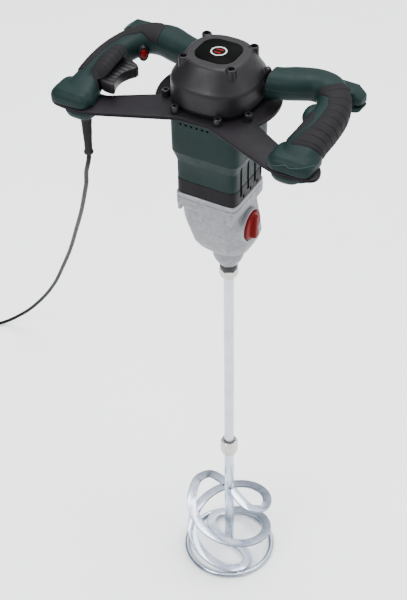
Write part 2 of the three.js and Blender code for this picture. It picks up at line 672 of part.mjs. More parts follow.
// The plug leaves the coil's top outer turn and lies on the floor beside it.
const plugLength = 34;
const plugRelief = 26;
const plugBody = squared([
  [0, 0], [3.8, 0], [4.6, plugRelief], [10, plugRelief + 3], [13, plugRelief + 10], [13, plugRelief + plugLength],
  [0, plugRelief + plugLength],
], 2.4, 20).scale(1, 1.35, 1);
const pins = [9.5, -9.5].map((y) =>
  disc(2.4, plugRelief + plugLength - 2, plugRelief + plugLength + 19, 10).translate(0, y, 0));
const plug = geometryOf(join(plugBody, ...pins));
plug.rotateY(-Math.PI / 2);
add('plug', plug, cordRubber, coilPlace[0] - 28, coilPlace[1] - coilMiddle - 9, 13.1);

export default mixer;
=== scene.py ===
# Looks for the paint mixer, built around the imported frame. Sizes are in millimetres in the frame's
# own axes (+Z up the rod, +X the right handle, -Y the front) and become metres when a mesh is made.

import math

import bmesh
import bpy
from mathutils import Matrix, Vector, noise


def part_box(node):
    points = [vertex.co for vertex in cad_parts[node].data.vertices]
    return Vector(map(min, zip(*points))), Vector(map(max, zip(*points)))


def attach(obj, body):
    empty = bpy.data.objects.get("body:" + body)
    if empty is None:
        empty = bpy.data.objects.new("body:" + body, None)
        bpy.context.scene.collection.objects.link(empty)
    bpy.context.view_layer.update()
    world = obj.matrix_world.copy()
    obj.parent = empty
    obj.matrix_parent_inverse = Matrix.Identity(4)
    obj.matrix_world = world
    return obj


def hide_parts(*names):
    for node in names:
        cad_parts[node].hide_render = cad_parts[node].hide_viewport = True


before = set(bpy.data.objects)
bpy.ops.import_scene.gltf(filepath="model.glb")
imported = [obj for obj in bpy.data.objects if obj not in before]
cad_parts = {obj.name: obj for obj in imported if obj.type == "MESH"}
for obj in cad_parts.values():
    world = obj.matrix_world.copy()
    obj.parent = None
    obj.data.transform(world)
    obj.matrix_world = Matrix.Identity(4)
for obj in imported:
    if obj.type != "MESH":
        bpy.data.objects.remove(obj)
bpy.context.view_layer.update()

MM = 0.001

# ---- sizes shared with the CAD -------------------------------------------------------------------

MOTOR_Y = -23.0
PLATE_LOW, PLATE_HIGH = 851.0, 856.0
CAP_TOP = 917.0
GEARBOX_TOP, BAFFLE_TOP, STEP_LOW = 724.0, 745.0, 772.0
BOLT_CIRCLE, BOLT_ANGLES = 63.7, (27, 61, 119, 153)
CAP_SCREW = (31.8, 28.6)
FOOT_BOLT = (138.0, -110.0)
KNOB_Z, KNOB_FACE = 674.0, 43.4
TRIGGER_Z = 870.0
BUTTON_PLACE = Vector((-113.0, -9.0, 873.0))
BUTTON_AXIS = Vector((-1.0, 1.0, 0.0)).normalized()

# ---- camera --------------------------------------------------------------------------------------

CAMERA_PLACE = Vector((0.7329, -1.3609, 1.8608))
CAMERA_LOOK = Vector((-0.3719, 0.6552, -0.6575)).normalized()
CAMERA_ROLL = -0.0171
CAMERA_LENS = 90.5


def make_camera():
    level = CAMERA_LOOK.cross(Vector((0, 0, 1))).normalized()
    upright = level.cross(CAMERA_LOOK)
    right = level * math.cos(CAMERA_ROLL) + upright * math.sin(CAMERA_ROLL)
    up = right.cross(CAMERA_LOOK)
    turn = Matrix((right, up, -CAMERA_LOOK)).transposed()
    data = bpy.data.cameras.new("camera")
    data.lens = CAMERA_LENS
    data.sensor_fit = "AUTO"
    data.sensor_width = 36.0
    data.clip_start, data.clip_end = 0.05, 50.0
    camera = bpy.data.objects.new("camera", data)
    camera.matrix_world = Matrix.Translation(CAMERA_PLACE) @ turn.to_4x4()
    bpy.context.scene.collection.objects.link(camera)
    bpy.context.scene.camera = camera


make_camera()

# ---- procedural materials ------------------------------------------------------------------------


class Finish:
    """A material being wired up: short names for the nodes that the finishes below share."""

    def __init__(self, name):
        self.material = bpy.data.materials.new(name)
        self.material.use_nodes = True
        self.tree = self.material.node_tree
        self.shader = self.tree.nodes["Principled BSDF"]
        self.place = self.tree.nodes.new("ShaderNodeTexCoord").outputs["Object"]

    def link(self, a, b):
        self.tree.links.new(a, b)

    def noise(self, scale, detail=3.0, stretch=None, roughness=0.55):
        node = self.tree.nodes.new("ShaderNodeTexNoise")
        node.inputs["Scale"].default_value = scale
        node.inputs["Detail"].default_value = detail
        node.inputs["Roughness"].default_value = roughness
        source = self.place
        if stretch:
            mapping = self.tree.nodes.new("ShaderNodeMapping")
            mapping.inputs["Scale"].default_value = stretch
            self.link(self.place, mapping.inputs["Vector"])
            source = mapping.outputs["Vector"]
        self.link(source, node.inputs["Vector"])
        return node.outputs["Fac"]

    def cells(self, scale):
        node = self.tree.nodes.new("ShaderNodeTexVoronoi")
        node.inputs["Scale"].default_value = scale
        self.link(self.place, node.inputs["Vector"])
        return node.outputs["Distance"]

    def between(self, value, low, high, a, b):
        """A number that goes from a to b as value goes from low to high."""
        node = self.tree.nodes.new("ShaderNodeMapRange")
        for key, number in (("From Min", low), ("From Max", high), ("To Min", a), ("To Max", b)):
            node.inputs[key].default_value = number
        self.link(value, node.inputs["Value"])
        return node.outputs["Result"]

    def edges(self):
        """The surface's sharpness, near 0.5 on flats and higher on outer edges."""
        return self.tree.nodes.new("ShaderNodeNewGeometry").outputs["Pointiness"]

    def steepness(self):
        """1 where the surface faces straight up or down, 0 where it stands upright."""
        split = self.tree.nodes.new("ShaderNodeSeparateXYZ")
        self.link(self.tree.nodes.new("ShaderNodeNewGeometry").outputs["True Normal"], split.inputs["Vector"])
        size = self.tree.nodes.new("ShaderNodeMath")
        size.operation = "ABSOLUTE"
        self.link(split.outputs["Z"], size.inputs[0])
        return size.outputs["Value"]

    def colours(self, value, stops):
        node = self.tree.nodes.new("ShaderNodeValToRGB")
        ramp = node.color_ramp
        while len(ramp.elements) < len(stops):
            ramp.elements.new(0.5)
        for element, (at, colour) in zip(ramp.elements, stops):
            element.position = at
            element.color = (*colour, 1.0)
        self.link(value, node.inputs["Fac"])
        return node.outputs["Color"]

    def mixed(self, share, a, b):
        node = self.tree.nodes.new("ShaderNodeMix")
        node.data_type = "RGBA"
        self.link(share, node.inputs["Factor"])
        self.link(a, node.inputs["A"])
        self.link(b, node.inputs["B"])
        return node.outputs["Result"]

    def bump(self, *layers):
        """Bump from (height output, strength, depth in mm) layers, one on the other."""
        normal = None
        for height, strength, depth in layers:
            node = self.tree.nodes.new("ShaderNodeBump")
            node.inputs["Strength"].default_value = strength
            node.inputs["Distance"].default_value = depth * MM
            self.link(height, node.inputs["Height"])
            if normal:
                self.link(normal, node.inputs["Normal"])
            normal = node.outputs["Normal"]
        self.link(normal, self.shader.inputs["Normal"])

    def set(self, **values):
        for key, value in values.items():
            self.shader.inputs[key.replace("_", " ")].default_value = value

    def paint(self, colour, roughness=None):
        self.link(colour, self.shader.inputs["Base Color"])
        if roughness:
            self.link(roughness, self.shader.inputs["Roughness"])


def scaled(colour, factor):
    return tuple(min(1.0, channel * factor) for channel in colour)


def moulded_plastic(name, colour, rough=(0.42, 0.55), grain=0.05, worn=1.35, gloss=0.16):
    """Moulded plastic: a fine spark-eroded grain, faint cloudy colour, and paler worn edges."""
    finish = Finish(name)
    cloud = finish.noise(26, 4)
    body = finish.colours(cloud, [(0.3, scaled(colour, 0.9)), (0.7, scaled(colour, 1.12))])
    pale = finish.colours(cloud, [(0.0, scaled(colour, worn)), (1.0, scaled(colour, worn * 1.1))])
    edge = finish.between(finish.edges(), 0.52, 0.6, 0.0, 1.0)
    finish.paint(finish.mixed(edge, body, pale), finish.between(finish.noise(60, 3), 0.3, 0.7, *rough))
    finish.bump((finish.noise(2600, 2), 0.5, grain), (finish.cells(1500), 0.25, grain))
    finish.set(Specular_IOR_Level=gloss)
    return finish.material


def soft_rubber(name, colour, rough=(0.66, 0.82)):
    """Overmoulded rubber: a matte skin with fine grain, and painted shade darkening its hollows."""
    finish = Finish(name)
    cloud = finish.noise(45, 4)
    body = finish.colours(cloud, [(0.3, scaled(colour, 0.85)), (0.72, scaled(colour, 1.2))])
    # Painted shade: the hollows are painted darker than the rubber.
    painted_hollow_shade = finish.colours(cloud, [(0.0, scaled(colour, 0.55)), (1.0, scaled(colour, 0.7))])
    hollow = finish.between(finish.edges(), 0.49, 0.42, 0.0, 1.0)
    finish.paint(finish.mixed(hollow, body, painted_hollow_shade), finish.between(finish.noise(90, 3), 0.3, 0.7, *rough))
    finish.bump((finish.noise(3200, 2), 0.6, 0.04), (finish.cells(2200), 0.3, 0.05))
    finish.set(Specular_IOR_Level=0.1)
    return finish.material


def plated_steel(name, colour, rough=(0.16, 0.3), metallic=1.0, stretch=(1, 1, 1), streak=0.02, side=None):
    """Plated or bare steel: soft smoky changes of tone, with fine rolling marks. side is the dark
    tone of a painted reflection on faces that stand upright, streaked with noise."""
    finish = Finish(name)
    smoke = finish.noise(38, 5, roughness=0.6)
    body = finish.colours(smoke, [(0.25, scaled(colour, 0.84)), (0.55, colour), (0.8, scaled(colour, 1.07))])
    # Painted reflection: faces that stand upright take the dark side tone, streaked with noise.
    if side:
        upright_painted_reflection = finish.colours(finish.noise(22, 4), [(0.32, side), (0.68, scaled(side, 3.2))])
        body = finish.mixed(finish.between(finish.steepness(), 0.6, 0.965, 0.0, 1.0), upright_painted_reflection, body)
    finish.paint(body, finish.between(finish.noise(70, 4, stretch), 0.3, 0.72, *rough))
    finish.bump((finish.noise(900, 3, stretch), 0.35, streak), (finish.noise(130, 3), 0.2, streak * 2))
    finish.set(Metallic=metallic)
    return finish.material


def sand_casting(name, colour):
    """Die-cast aluminium: a sandy skin with faint flow marks and brighter edges."""
    finish = Finish(name)
    cloud = finish.noise(170, 6, roughness=0.7)
    body = finish.colours(cloud, [(0.32, scaled(colour, 0.74)), (0.68, scaled(colour, 1.14))])
    bright = finish.colours(cloud, [(0.0, scaled(colour, 1.15)), (1.0, scaled(colour, 1.3))])
    edge = finish.between(finish.edges(), 0.52, 0.6, 0.0, 1.0)
    finish.paint(finish.mixed(edge, body, bright), finish.between(finish.noise(120, 3), 0.3, 0.7, 0.42, 0.6))
    finish.bump((finish.noise(700, 4), 0.7, 0.16), (finish.cells(900), 0.35, 0.08))
    finish.set(Metallic=0.55)
    return finish.material


GREEN = moulded_plastic("green_plastic", (0.0042, 0.0118, 0.0112), gloss=0.09)
# A paler green for the foot's moulding seam: a painted highlight along the seam.
GREEN_SEAM_HIGHLIGHT = moulded_plastic("green_seam_highlight", (0.016, 0.030, 0.029))
CHARCOAL = moulded_plastic("charcoal_plastic", (0.0062, 0.0055, 0.0065), rough=(0.38, 0.5), grain=0.06, gloss=0.19)
BLACK = moulded_plastic("black_plastic", (0.0050, 0.0050, 0.0054), rough=(0.38, 0.5))
BAFFLE = moulded_plastic("baffle_plastic", (0.0030, 0.0027, 0.0034), rough=(0.42, 0.55), gloss=0.09)
RED = moulded_plastic("red_plastic", (0.090, 0.0012, 0.0018), rough=(0.36, 0.46), grain=0.02, worn=1.2, gloss=0.07)
LABEL = moulded_plastic("gloss_label", (0.0012, 0.0014, 0.0011), rough=(0.3, 0.38), grain=0.004, gloss=0.015)
WHITE_INK = moulded_plastic("white_ink", (0.42, 0.42, 0.42), rough=(0.4, 0.5), grain=0.004, worn=1.0)
PAINT = moulded_plastic("powder_coat", (0.0052, 0.0043, 0.0056), rough=(0.4, 0.52), grain=0.07, worn=1.5, gloss=0.09)
RUBBER = soft_rubber("grip_rubber", (0.0080, 0.0074, 0.0083))
CORD_SKIN = soft_rubber("cord_skin", (0.0040, 0.0038, 0.0040), rough=(0.5, 0.62))
RELIEF_SKIN = soft_rubber("relief_skin", (0.0120, 0.0112, 0.0116), rough=(0.5, 0.62))
# ZINC and SHAFT get side: a dark painted reflection on their upright faces.
ZINC = plated_steel("zinc_plate", (0.47, 0.515, 0.605), rough=(0.14, 0.28), side=(0.085, 0.102, 0.122))
ROD = plated_steel("zinc_rod", (0.50, 0.53, 0.59), rough=(0.26, 0.38), stretch=(1, 1, 0.03))
SHAFT = plated_steel("zinc_shaft", (0.46, 0.50, 0.58), rough=(0.18, 0.32), stretch=(1, 1, 0.08),
                     side=(0.20, 0.23, 0.27))
NICKEL = plated_steel("nut_plate", (0.44, 0.435, 0.40), rough=(0.22, 0.36), stretch=(1, 1, 0.1))
DARK_STEEL = plated_steel("black_oxide", (0.012, 0.0118, 0.0125), rough=(0.3, 0.42), metallic=0.5)
MACHINED = plated_steel("machined_steel", (0.42, 0.43, 0.45), rough=(0.22, 0.35), stretch=(1, 1, 6))
CASTING = sand_casting("cast_aluminium", (0.170, 0.173, 0.184))
COPPER = plated_steel("copper", (0.45, 0.18, 0.08), rough=(0.25, 0.4))
WELD = plated_steel("weld", (0.36, 0.38, 0.42), rough=(0.25, 0.5), streak=0.2)

NODE_FINISHES = {
    BLACK: ("switch_module", "cooling_fan", "brush_holder_left", "brush_holder_right"),
    CASTING: ("bearing_plate",),
    MACHINED: (
        "spindle", "output_gear", "layshaft_gear", "armature_shaft", "stator", "armature_bearing_top",
        "armature_bearing_bottom", "spindle_bearing",
    ),
    RUBBER: ("spindle_seal",),
    COPPER: ("armature_core", "commutator"),
    DARK_STEEL: ("left_foot_bolt", "right_foot_bolt"),
}
for finish, names in NODE_FINISHES.items():
    for name in names:
        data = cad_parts[name].data
        data.materials.clear()
        data.materials.append(finish)

# ---- shape helpers -------------------------------------------------------------------------------


def eased(pairs, t):
    """A value that eases between (t, value) pairs."""
    if t <= pairs[0][0]:
        return pairs[0][1]
    for (t0, a), (t1, b) in zip(pairs, pairs[1:]):
        if t <= t1:
            s = (t - t0) / (t1 - t0)
            return a + (b - a) * s * s * (3 - 2 * s)
    return pairs[-1][1]


def spline(points, per_span=24):
    """A centripetal Catmull-Rom curve through the points, as a dense list of points."""
    own = [Vector(p) for p in points]
    ends = [2 * own[0] - own[1], *own, 2 * own[-1] - own[-2]]
    dense = []
    for p0, p1, p2, p3 in zip(ends, ends[1:], ends[2:], ends[3:]):
        d0, d1, d2 = (max((b - a).length ** 0.5, 1e-4) for a, b in ((p0, p1), (p1, p2), (p2, p3)))
        leave = ((p1 - p0) / d0 - (p2 - p0) / (d0 + d1) + (p2 - p1) / d1) * d1
        arrive = ((p2 - p1) / d1 - (p3 - p1) / (d1 + d2) + (p3 - p2) / d2) * d1
        for k in range(per_span):
            s = k / per_span
            dense.append(
                p1 * (2 * s**3 - 3 * s**2 + 1) + leave * (s**3 - 2 * s**2 + s)
                + p2 * (3 * s**2 - 2 * s**3) + arrive * (s**3 - s**2)
            )
    return dense + [own[-1]]


class Route:
    """A curve that gives its point and direction at a share t of its length."""

    def __init__(self, points):
        self.dense = spline(points)
        self.reach = [0.0]
        for a, b in zip(self.dense, self.dense[1:]):
            self.reach.append(self.reach[-1] + (b - a).length)
        self.length = self.reach[-1]

    def point(self, t):
        goal = min(max(t, 0.0), 1.0) * self.length
        low, high = 0, len(self.reach) - 1
        while high - low > 1:
            middle = (low + high) // 2
            if self.reach[middle] <= goal:
                low = middle
            else:
                high = middle
        s = (goal - self.reach[low]) / (self.reach[high] - self.reach[low])
        return self.dense[low].lerp(self.dense[high], s)

    def tangent(self, t):
        step = 0.004
        return (self.point(min(t + step, 1)) - self.point(max(t - step, 0))).normalized()

    def at(self, t):
        """(point, level sideways direction, direction square to both) at t."""
        along = self.tangent(t)
        side = Vector((along.y, -along.x, 0)).normalized()
        return self.point(t), side, side.cross(along)


def unit_squared(angle, exponent):
    """A point of the unit superellipse at that angle."""
    c, s = math.cos(angle), math.sin(angle)
    reach = (abs(c) ** exponent + abs(s) ** exponent) ** (-1 / exponent)
    return c * reach, s * reach


def around(count):
    return [2 * math.pi * k / count for k in range(count)]


def loft(rings, wrap=False):
    """(vertices, faces) of a skin over rings of equal count: capped at its ends, or joined if wrap."""
    n, m = len(rings[0]), len(rings)
    verts = [v for ring in rings for v in ring]
    faces = []
    for i in range(m if wrap else m - 1):
        a, b = i * n, ((i + 1) % m) * n
        faces += [(a + j, a + (j + 1) % n, b + (j + 1) % n, b + j) for j in range(n)]
    if not wrap:
        faces += [tuple(reversed(range(n))), tuple(range((m - 1) * n, m * n))]
    return verts, faces


def turned(profile, count=64, centre=(0, 0), exponent=2.0, wrap=False, ripple=None, depth=1.0):
    """A turned piece about +Z from (radius, height) pairs; ripple(angle, z) scales the radius, and
    depth squashes it along Y."""
    rings = []
    for radius, z in profile:
        ring = []
        for angle in around(count):
            x, y = unit_squared(angle, exponent)
            r = max(radius, 0.001) * (ripple(angle, z) if ripple else 1)
            ring.append(Vector((centre[0] + r * x, centre[1] + r * y * depth, z)))
        rings.append(ring)
    return loft(rings, wrap)


def rounded(profile, radius=1.0, steps=3):
    """The profile with each inner corner cut to a small round."""
    out = [profile[0]]
    for before, corner, after in zip(profile, profile[1:], profile[2:]):
        c = Vector(corner)
        a, b = Vector(before) - c, Vector(after) - c
        reach = min(radius, a.length * 0.45, b.length * 0.45)
        start, end = c + a.normalized() * reach, c + b.normalized() * reach
        for k in range(steps + 1):
            s = k / steps
            out.append(tuple(start.lerp(c, s).lerp(c.lerp(end, s), s)))
    return out + [profile[-1]]


def moved(part, turn=None, place=(0, 0, 0)):
    verts, faces = part
    place = Vector(place)
    return [(turn @ v if turn else v) + place for v in verts], faces


def slab(outline, layers):
    """A flat outline raised through (inset, z) layers; inset moves the edge inwards."""
    points = [Vector(p) for p in outline]
    n = len(points)
    inward = []
    for k in range(n):
        a, b = (points[k] - points[k - 1]).normalized(), (points[(k + 1) % n] - points[k]).normalized()
        na, nb = Vector((-a.y, a.x)), Vector((-b.y, b.x))
        both = (na + nb).normalized()
        inward.append(both / max(both.dot(na), 0.35))
    rings = []
    for inset, z in layers:
        rings.append([Vector((*(p + d * inset), z)) for p, d in zip(points, inward)])
    return loft(rings)


def box(low, high):
    (x0, y0, z0), (x1, y1, z1) = low, high
    ring = [(x0, y0), (x1, y0), (x1, y1), (x0, y1)]
    return loft([[Vector((x, y, z)) for x, y in ring] for z in (z0, z1)])


def mesh_of(name, parts):
    verts, faces = [], []
    for part_verts, part_faces in parts:
        start = len(verts)
        verts += [tuple(v * MM) for v in part_verts]
        faces += [tuple(start + k for k in face) for face in part_faces]
    data = bpy.data.meshes.new(name)
    data.from_pydata(verts, [], faces)
    data.validate()
    return data


def applied(obj):
    """obj with its modifiers made real."""
    graph = bpy.context.evaluated_depsgraph_get()
    graph.update()
    data = bpy.data.meshes.new_from_object(obj.evaluated_get(graph))
    obj.modifiers.clear()
    obj.data = data


def linked(name, data):
    obj = bpy.data.objects.new(name, data)
    bpy.context.scene.collection.objects.link(obj)
    return obj


def outward(obj):
    """Faces point out of the piece."""
    shape = bmesh.new()
    shape.from_mesh(obj.data)
    bmesh.ops.remove_doubles(shape, verts=shape.verts, dist=2e-6)
    bmesh.ops.recalc_face_normals(shape, faces=shape.faces)
    shape.to_mesh(obj.data)
    shape.free()


def piece(name, parts, body, finish, stands_for=(), cutters=(), voxel=0.0, relax=0, bevel=0.0, crease=38):
    """One visible piece. voxel (mm) melts its parts into one skin and relax smooths that skin, cutters
    are then taken away from it, and bevel (mm) rounds its sharp edges."""
    obj = linked(name, mesh_of(name, parts))
    outward(obj)
    if voxel:
        mod = obj.modifiers.new("melt", "REMESH")
        mod.mode, mod.voxel_size, mod.use_smooth_shade = "VOXEL", voxel * MM, True
        if relax:
            mod = obj.modifiers.new("relax", "SMOOTH")
            mod.factor, mod.iterations = 0.5, relax
        applied(obj)
    for cutter in cutters:
        tool = linked(f"{name}_cut", mesh_of("cut", [cutter]))
        outward(tool)
        mod = obj.modifiers.new("cut", "BOOLEAN")
        mod.object, mod.solver, mod.operation = tool, "MANIFOLD", "DIFFERENCE"
        applied(obj)
        bpy.data.objects.remove(tool)
    if bevel:
        mod = obj.modifiers.new("round", "BEVEL")
        mod.width, mod.segments, mod.limit_method = bevel * MM, 2, "ANGLE"
        mod.angle_limit = math.radians(35)
        applied(obj)
    obj.data.shade_smooth()
    if cutters or not voxel:
        obj.data.set_sharp_from_angle(angle=math.radians(crease))
    obj.data.materials.clear()
    obj.data.materials.append(finish)
    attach(obj, body)
    if stands_for:
        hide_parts(*stands_for)
    return obj


# ---- cord, coil and plug -------------------------------------------------------------------------

CORD_RADIUS = 3.0
CORD_EXIT = (-132.0, -115.0, 784.65)
CORD_ROUTE = [
    CORD_EXIT, (-133, -114.5, 776), (-137, -112, 764), (-147, -102, 743), (-161, -84, 709),
    (-176, -67, 679), (-219, -18, 598), (-272, 40, 505), (-330, 102, 403), (-391, 161, 300),
    (-450, 211, 201), (-508, 247, 115), (-560, 264, 50), (-602, 262, 12), (-618, 255, 4),
    (-633, 246, 3), (-649, 236, 3),
]
COIL_PLACE = (-695.0, 261.0)
COIL_OUTER, COIL_INNER = 45.0, 27.0
COIL_START = math.radians(-59.0)
PLUG_PLACE = Vector((-723.0, 216.0, 13.1))


def coil_points():
    """Turns from the outside in, then a second layer back out on top, clockwise from above."""
    path = [(0.0, COIL_OUTER, CORD_RADIUS), (3.0, COIL_INNER, CORD_RADIUS)]
    path += [(3.5, COIL_INNER, 3.1 * CORD_RADIUS), (6.5, COIL_OUTER, 3.1 * CORD_RADIUS)]
    path += [(7.0 + 31.0 / 360.0, COIL_OUTER, 3.1 * CORD_RADIUS)]
    points = []
    for (turn0, radius0, z0), (turn1, radius1, z1) in zip(path, path[1:]):
        steps = max(4, round(16 * (turn1 - turn0)))
        for k in range(steps):
            s = k / steps
            points.append((turn0 + (turn1 - turn0) * s, radius0 + (radius1 - radius0) * s, z0 + (z1 - z0) * s))
    points.append(path[-1])
    placed = []
    for turn, radius, z in points:
        angle = COIL_START - 2 * math.pi * turn
        placed.append((COIL_PLACE[0] + radius * math.cos(angle), COIL_PLACE[1] + radius * math.sin(angle), z))
    return placed


def make_cord():
    tail = [tuple(PLUG_PLACE + Vector(step)) for step in ((14, 0, -1.9), (3, 0, -0.1), (-4, 0, 0))]
    line = spline(CORD_ROUTE + coil_points() + tail, 10)
    length = sum((b - a).length for a, b in zip(line, line[1:])) * MM
    data = bpy.data.curves.new("mains_cord", "CURVE")
    data.dimensions = "3D"
    data.bevel_depth = CORD_RADIUS * MM
    data.bevel_resolution = 5
    data.use_fill_caps = True
    strand = data.splines.new("POLY")
    strand.points.add(len(line) - 1)
    for point, place in zip(strand.points, line):
        point.co = (*(place * MM), 1.0)
    data.materials.append(CORD_SKIN)
    cord = bpy.data.objects.new("mains_cord", data)
    bpy.context.scene.collection.objects.link(cord)
    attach(cord, "head")
    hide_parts("cord", "cord_coil")
    return cord, length


def make_plug():
    """A moulded two-pin plug lying on its side, its relief towards the coil, its pins towards -X."""
    quarter = Matrix.Rotation(-math.pi / 2, 3, "Y")
    relief = [(4.0, 0), (4.6, 1), (4.2, 3)]
    for k in range(5):
        z = 4 + 4.2 * k
        relief += [(4.9 - 0.06 * k, z), (4.9 - 0.06 * k, z + 2.4), (3.9, z + 2.8), (3.9, z + 3.8)]
    body = [(5.0, 25), (9.6, 28), (11.8, 33), (13.0, 38), (13.0, 57), (12.2, 59.6), (11.0, 60)]
    parts = [
        turned([(0, 0), *relief, (4, 26), (0, 26)], 40),
        turned(rounded([(0, 24.5), *body, (0, 60)], 1.2), 72, exponent=2.4,
               ripple=lambda angle, z: 1 + (0.012 * math.cos(14 * angle) if 40 < z < 55 else 0)),
    ]
    turned_parts = [moved(part, quarter, PLUG_PLACE) for part in parts]
    plug = piece("mains_plug", turned_parts, "head", CORD_SKIN, ("plug",))
    pins = []
    for y in (9.5, -9.5):
        pin = turned(rounded([(0, 57), (2.4, 57), (2.4, 77), (1.2, 79), (0, 79)], 0.6), 24)
        pins.append(moved(moved(pin, None, (0, y, 0)), quarter, PLUG_PLACE))
    prongs = piece("plug_pins", pins, "head", NICKEL)
    return plug, prongs


cord_piece, cord_length = make_cord()
plug_piece, pin_piece = make_plug()

# ---- mixing paddle -------------------------------------------------------------------------------

RING_RADIUS, RING_BAR = 66.0, 4.0
ROD_RADIUS = 7.0
RIBBON_HALF = (7.0, 1.75)
RIBBON_RADIUS = 58.0
RIBBON_ON_RING = 10.1
COIL_DROP = 124.0
NUT_LOW, NUT_HIGH, NUT_FLATS = 213.0, 238.0, 22.0
ADAPTOR_LOW, ADAPTOR_HIGH = 556.0, 569.0
COLLAR_LOW, COLLAR_HIGH = 569.35, 579.0


def bar_section(wide, high, corner, steps=3):
    """A rounded rectangle as (across, up) pairs."""
    points = []
    for quarter, (x, y) in enumerate(((1, 1), (-1, 1), (-1, -1), (1, -1))):
        for k in range(steps + 1):
            angle = math.pi / 2 * (quarter + k / steps)
            points.append((x * (wide - corner) + corner * math.cos(angle),
                           y * (high - corner) + corner * math.sin(angle)))
    return points


def swept(route, section, steps):
    rings = []
    for i in range(steps + 1):
        place, side, up = route.at(i / steps)
        rings.append([place + side * a + up * b for a, b in section])
    return loft(rings)


def ribbon_route(turn):
    polar = [(153, 7.9, 134), (154, 24, 131), (160, 46, 125), (176, 57, 118)]
    polar += [(a, RIBBON_RADIUS, RIBBON_ON_RING + COIL_DROP * (480 - a) / 360) for a in range(200, 470, 20)]
    polar += [(482, RIBBON_RADIUS, RIBBON_ON_RING), (500, 57, RIBBON_ON_RING)]
    polar += [(516, 47, RIBBON_ON_RING - 0.6), (528, 26, RIBBON_ON_RING - 2), (532, 8.1, RIBBON_ON_RING - 3)]
    turned_by = [(math.radians(a + turn), r, z) for a, r, z in polar]
    return Route([(r * math.cos(a), r * math.sin(a), z) for a, r, z in turned_by])


def weld(centre, size, seed):
    """A lumpy bead about centre, size its three half lengths."""
    rings = []
    for i in range(1, 12):
        tilt = math.pi * i / 12
        ring = []
        for angle in around(18):
            way = Vector((math.sin(tilt) * math.cos(angle), math.sin(tilt) * math.sin(angle), math.cos(tilt)))
            lump = 1 + 0.28 * noise.noise(way * 2.3 + Vector((seed, 0, 0)))
            ring.append(Vector(centre) + Vector([w * s * lump for w, s in zip(way, size)]))
        rings.append(ring)
    return loft(rings)


def make_paddle():
    tube = []
    for angle in around(160):
        middle = Vector((math.cos(angle), math.sin(angle), 0))
        centre = middle * RING_RADIUS + Vector((0, 0, RING_BAR))
        tube.append([centre + (middle * math.cos(b) + Vector((0, 0, math.sin(b)))) * RING_BAR for b in around(24)])
    piece("ring_bar", [loft(tube, wrap=True)], "spindle_drive", ZINC, ("bottom_ring",), crease=60)

    section = bar_section(*RIBBON_HALF, 0.7)
    for name, turn in (("ribbon_a", 0), ("ribbon_b", 180)):
        blade = swept(ribbon_route(turn), section, 260)
        piece(f"{name}_blade", [blade], "spindle_drive", ZINC, (name,), crease=50)

    beads = []
    for half in (0, 180):
        for angle, radius, z, size in (
            (153, 8.2, 133, (3.4, 3.4, 2.6)), (154, 10.5, 130.5, (3.0, 3.0, 1.9)), (491, 63.5, 7.6, (2.6, 3.8, 2.2)),
            (497, 63.0, 7.4, (2.2, 3.0, 1.8)), (531, 9.0, 5.4, (3.2, 3.2, 2.2)), (534, 7.6, 8.6, (2.4, 2.4, 2.0)),
        ):
            a = math.radians(angle + half)
            beads.append(weld((radius * math.cos(a), radius * math.sin(a), z), size, angle + half))
    beads.append(weld((RING_RADIUS * math.cos(-0.76), RING_RADIUS * math.sin(-0.76), 4.2), (5.2, 5.2, 4.3), 7))
    piece("weld_beads", beads, "spindle_drive", WELD, crease=60)


def make_rods():
    def flats(angle, z):
        """Six flats on the upper stretch of the lower shaft, fading to a plain round."""
        share = eased([(131, 0.0), (139, 1.0)], z)
        local = (angle + math.pi / 6) % (math.pi / 3) - math.pi / 6
        return 1 + share * (min(1.0, 0.915 / math.cos(local)) - 1)

    lower = [(0, 0), (6.2, 0), (7, 0.8), (7, 60), (7, 120)] + [(7, 131 + k) for k in range(0, 10)]
    lower += [(7, 180), (7, 222), (0, 222)]
    piece("lower_shaft_bar", [turned(lower, 96, ripple=flats)], "spindle_drive", SHAFT,
          ("lower_shaft",), crease=12)
    upper = [(0, 222.4), (7, 222.4), (7, 300), (7, 420), (7, 540), (7, 567), (6.6, 568), (0, 568)]
    piece("upper_rod_bar", [turned(upper, 96)], "spindle_drive", ROD, ("upper_rod",), crease=30)


def hexagon_ring(flats, limit, z, count=120):
    """A level hexagon whose corners are cut back to the radius limit."""
    ring = []
    for angle in around(count):
        local = (angle + math.pi / 6) % (math.pi / 3) - math.pi / 6
        radius = min(flats / 2 / math.cos(local), limit)
        ring.append(Vector((radius * math.cos(angle), radius * math.sin(angle), z)))
    return ring


def hexagon_nut(low, high, flats, chamfer_low, chamfer_high, bore):
    corner = flats / math.sqrt(3)
    levels = [(low, flats / 2 - 0.6)]
    levels += [(low + chamfer_low * k / 6, flats / 2 - 0.6 + (corner - flats / 2 + 0.6) * k / 6) for k in range(1, 7)]
    levels += [((low + high) / 2, corner)]
    levels += [(high - chamfer_high * (1 - k / 6), corner - (corner - flats / 2 + 0.4) * k / 6) for k in range(7)]
    rings = [hexagon_ring(flats, limit, z) for z, limit in levels]
    for radius, z in bore:
        rings.append([Vector((radius * math.cos(a), radius * math.sin(a), z)) for a in around(120)])
    return loft(rings, wrap=True)


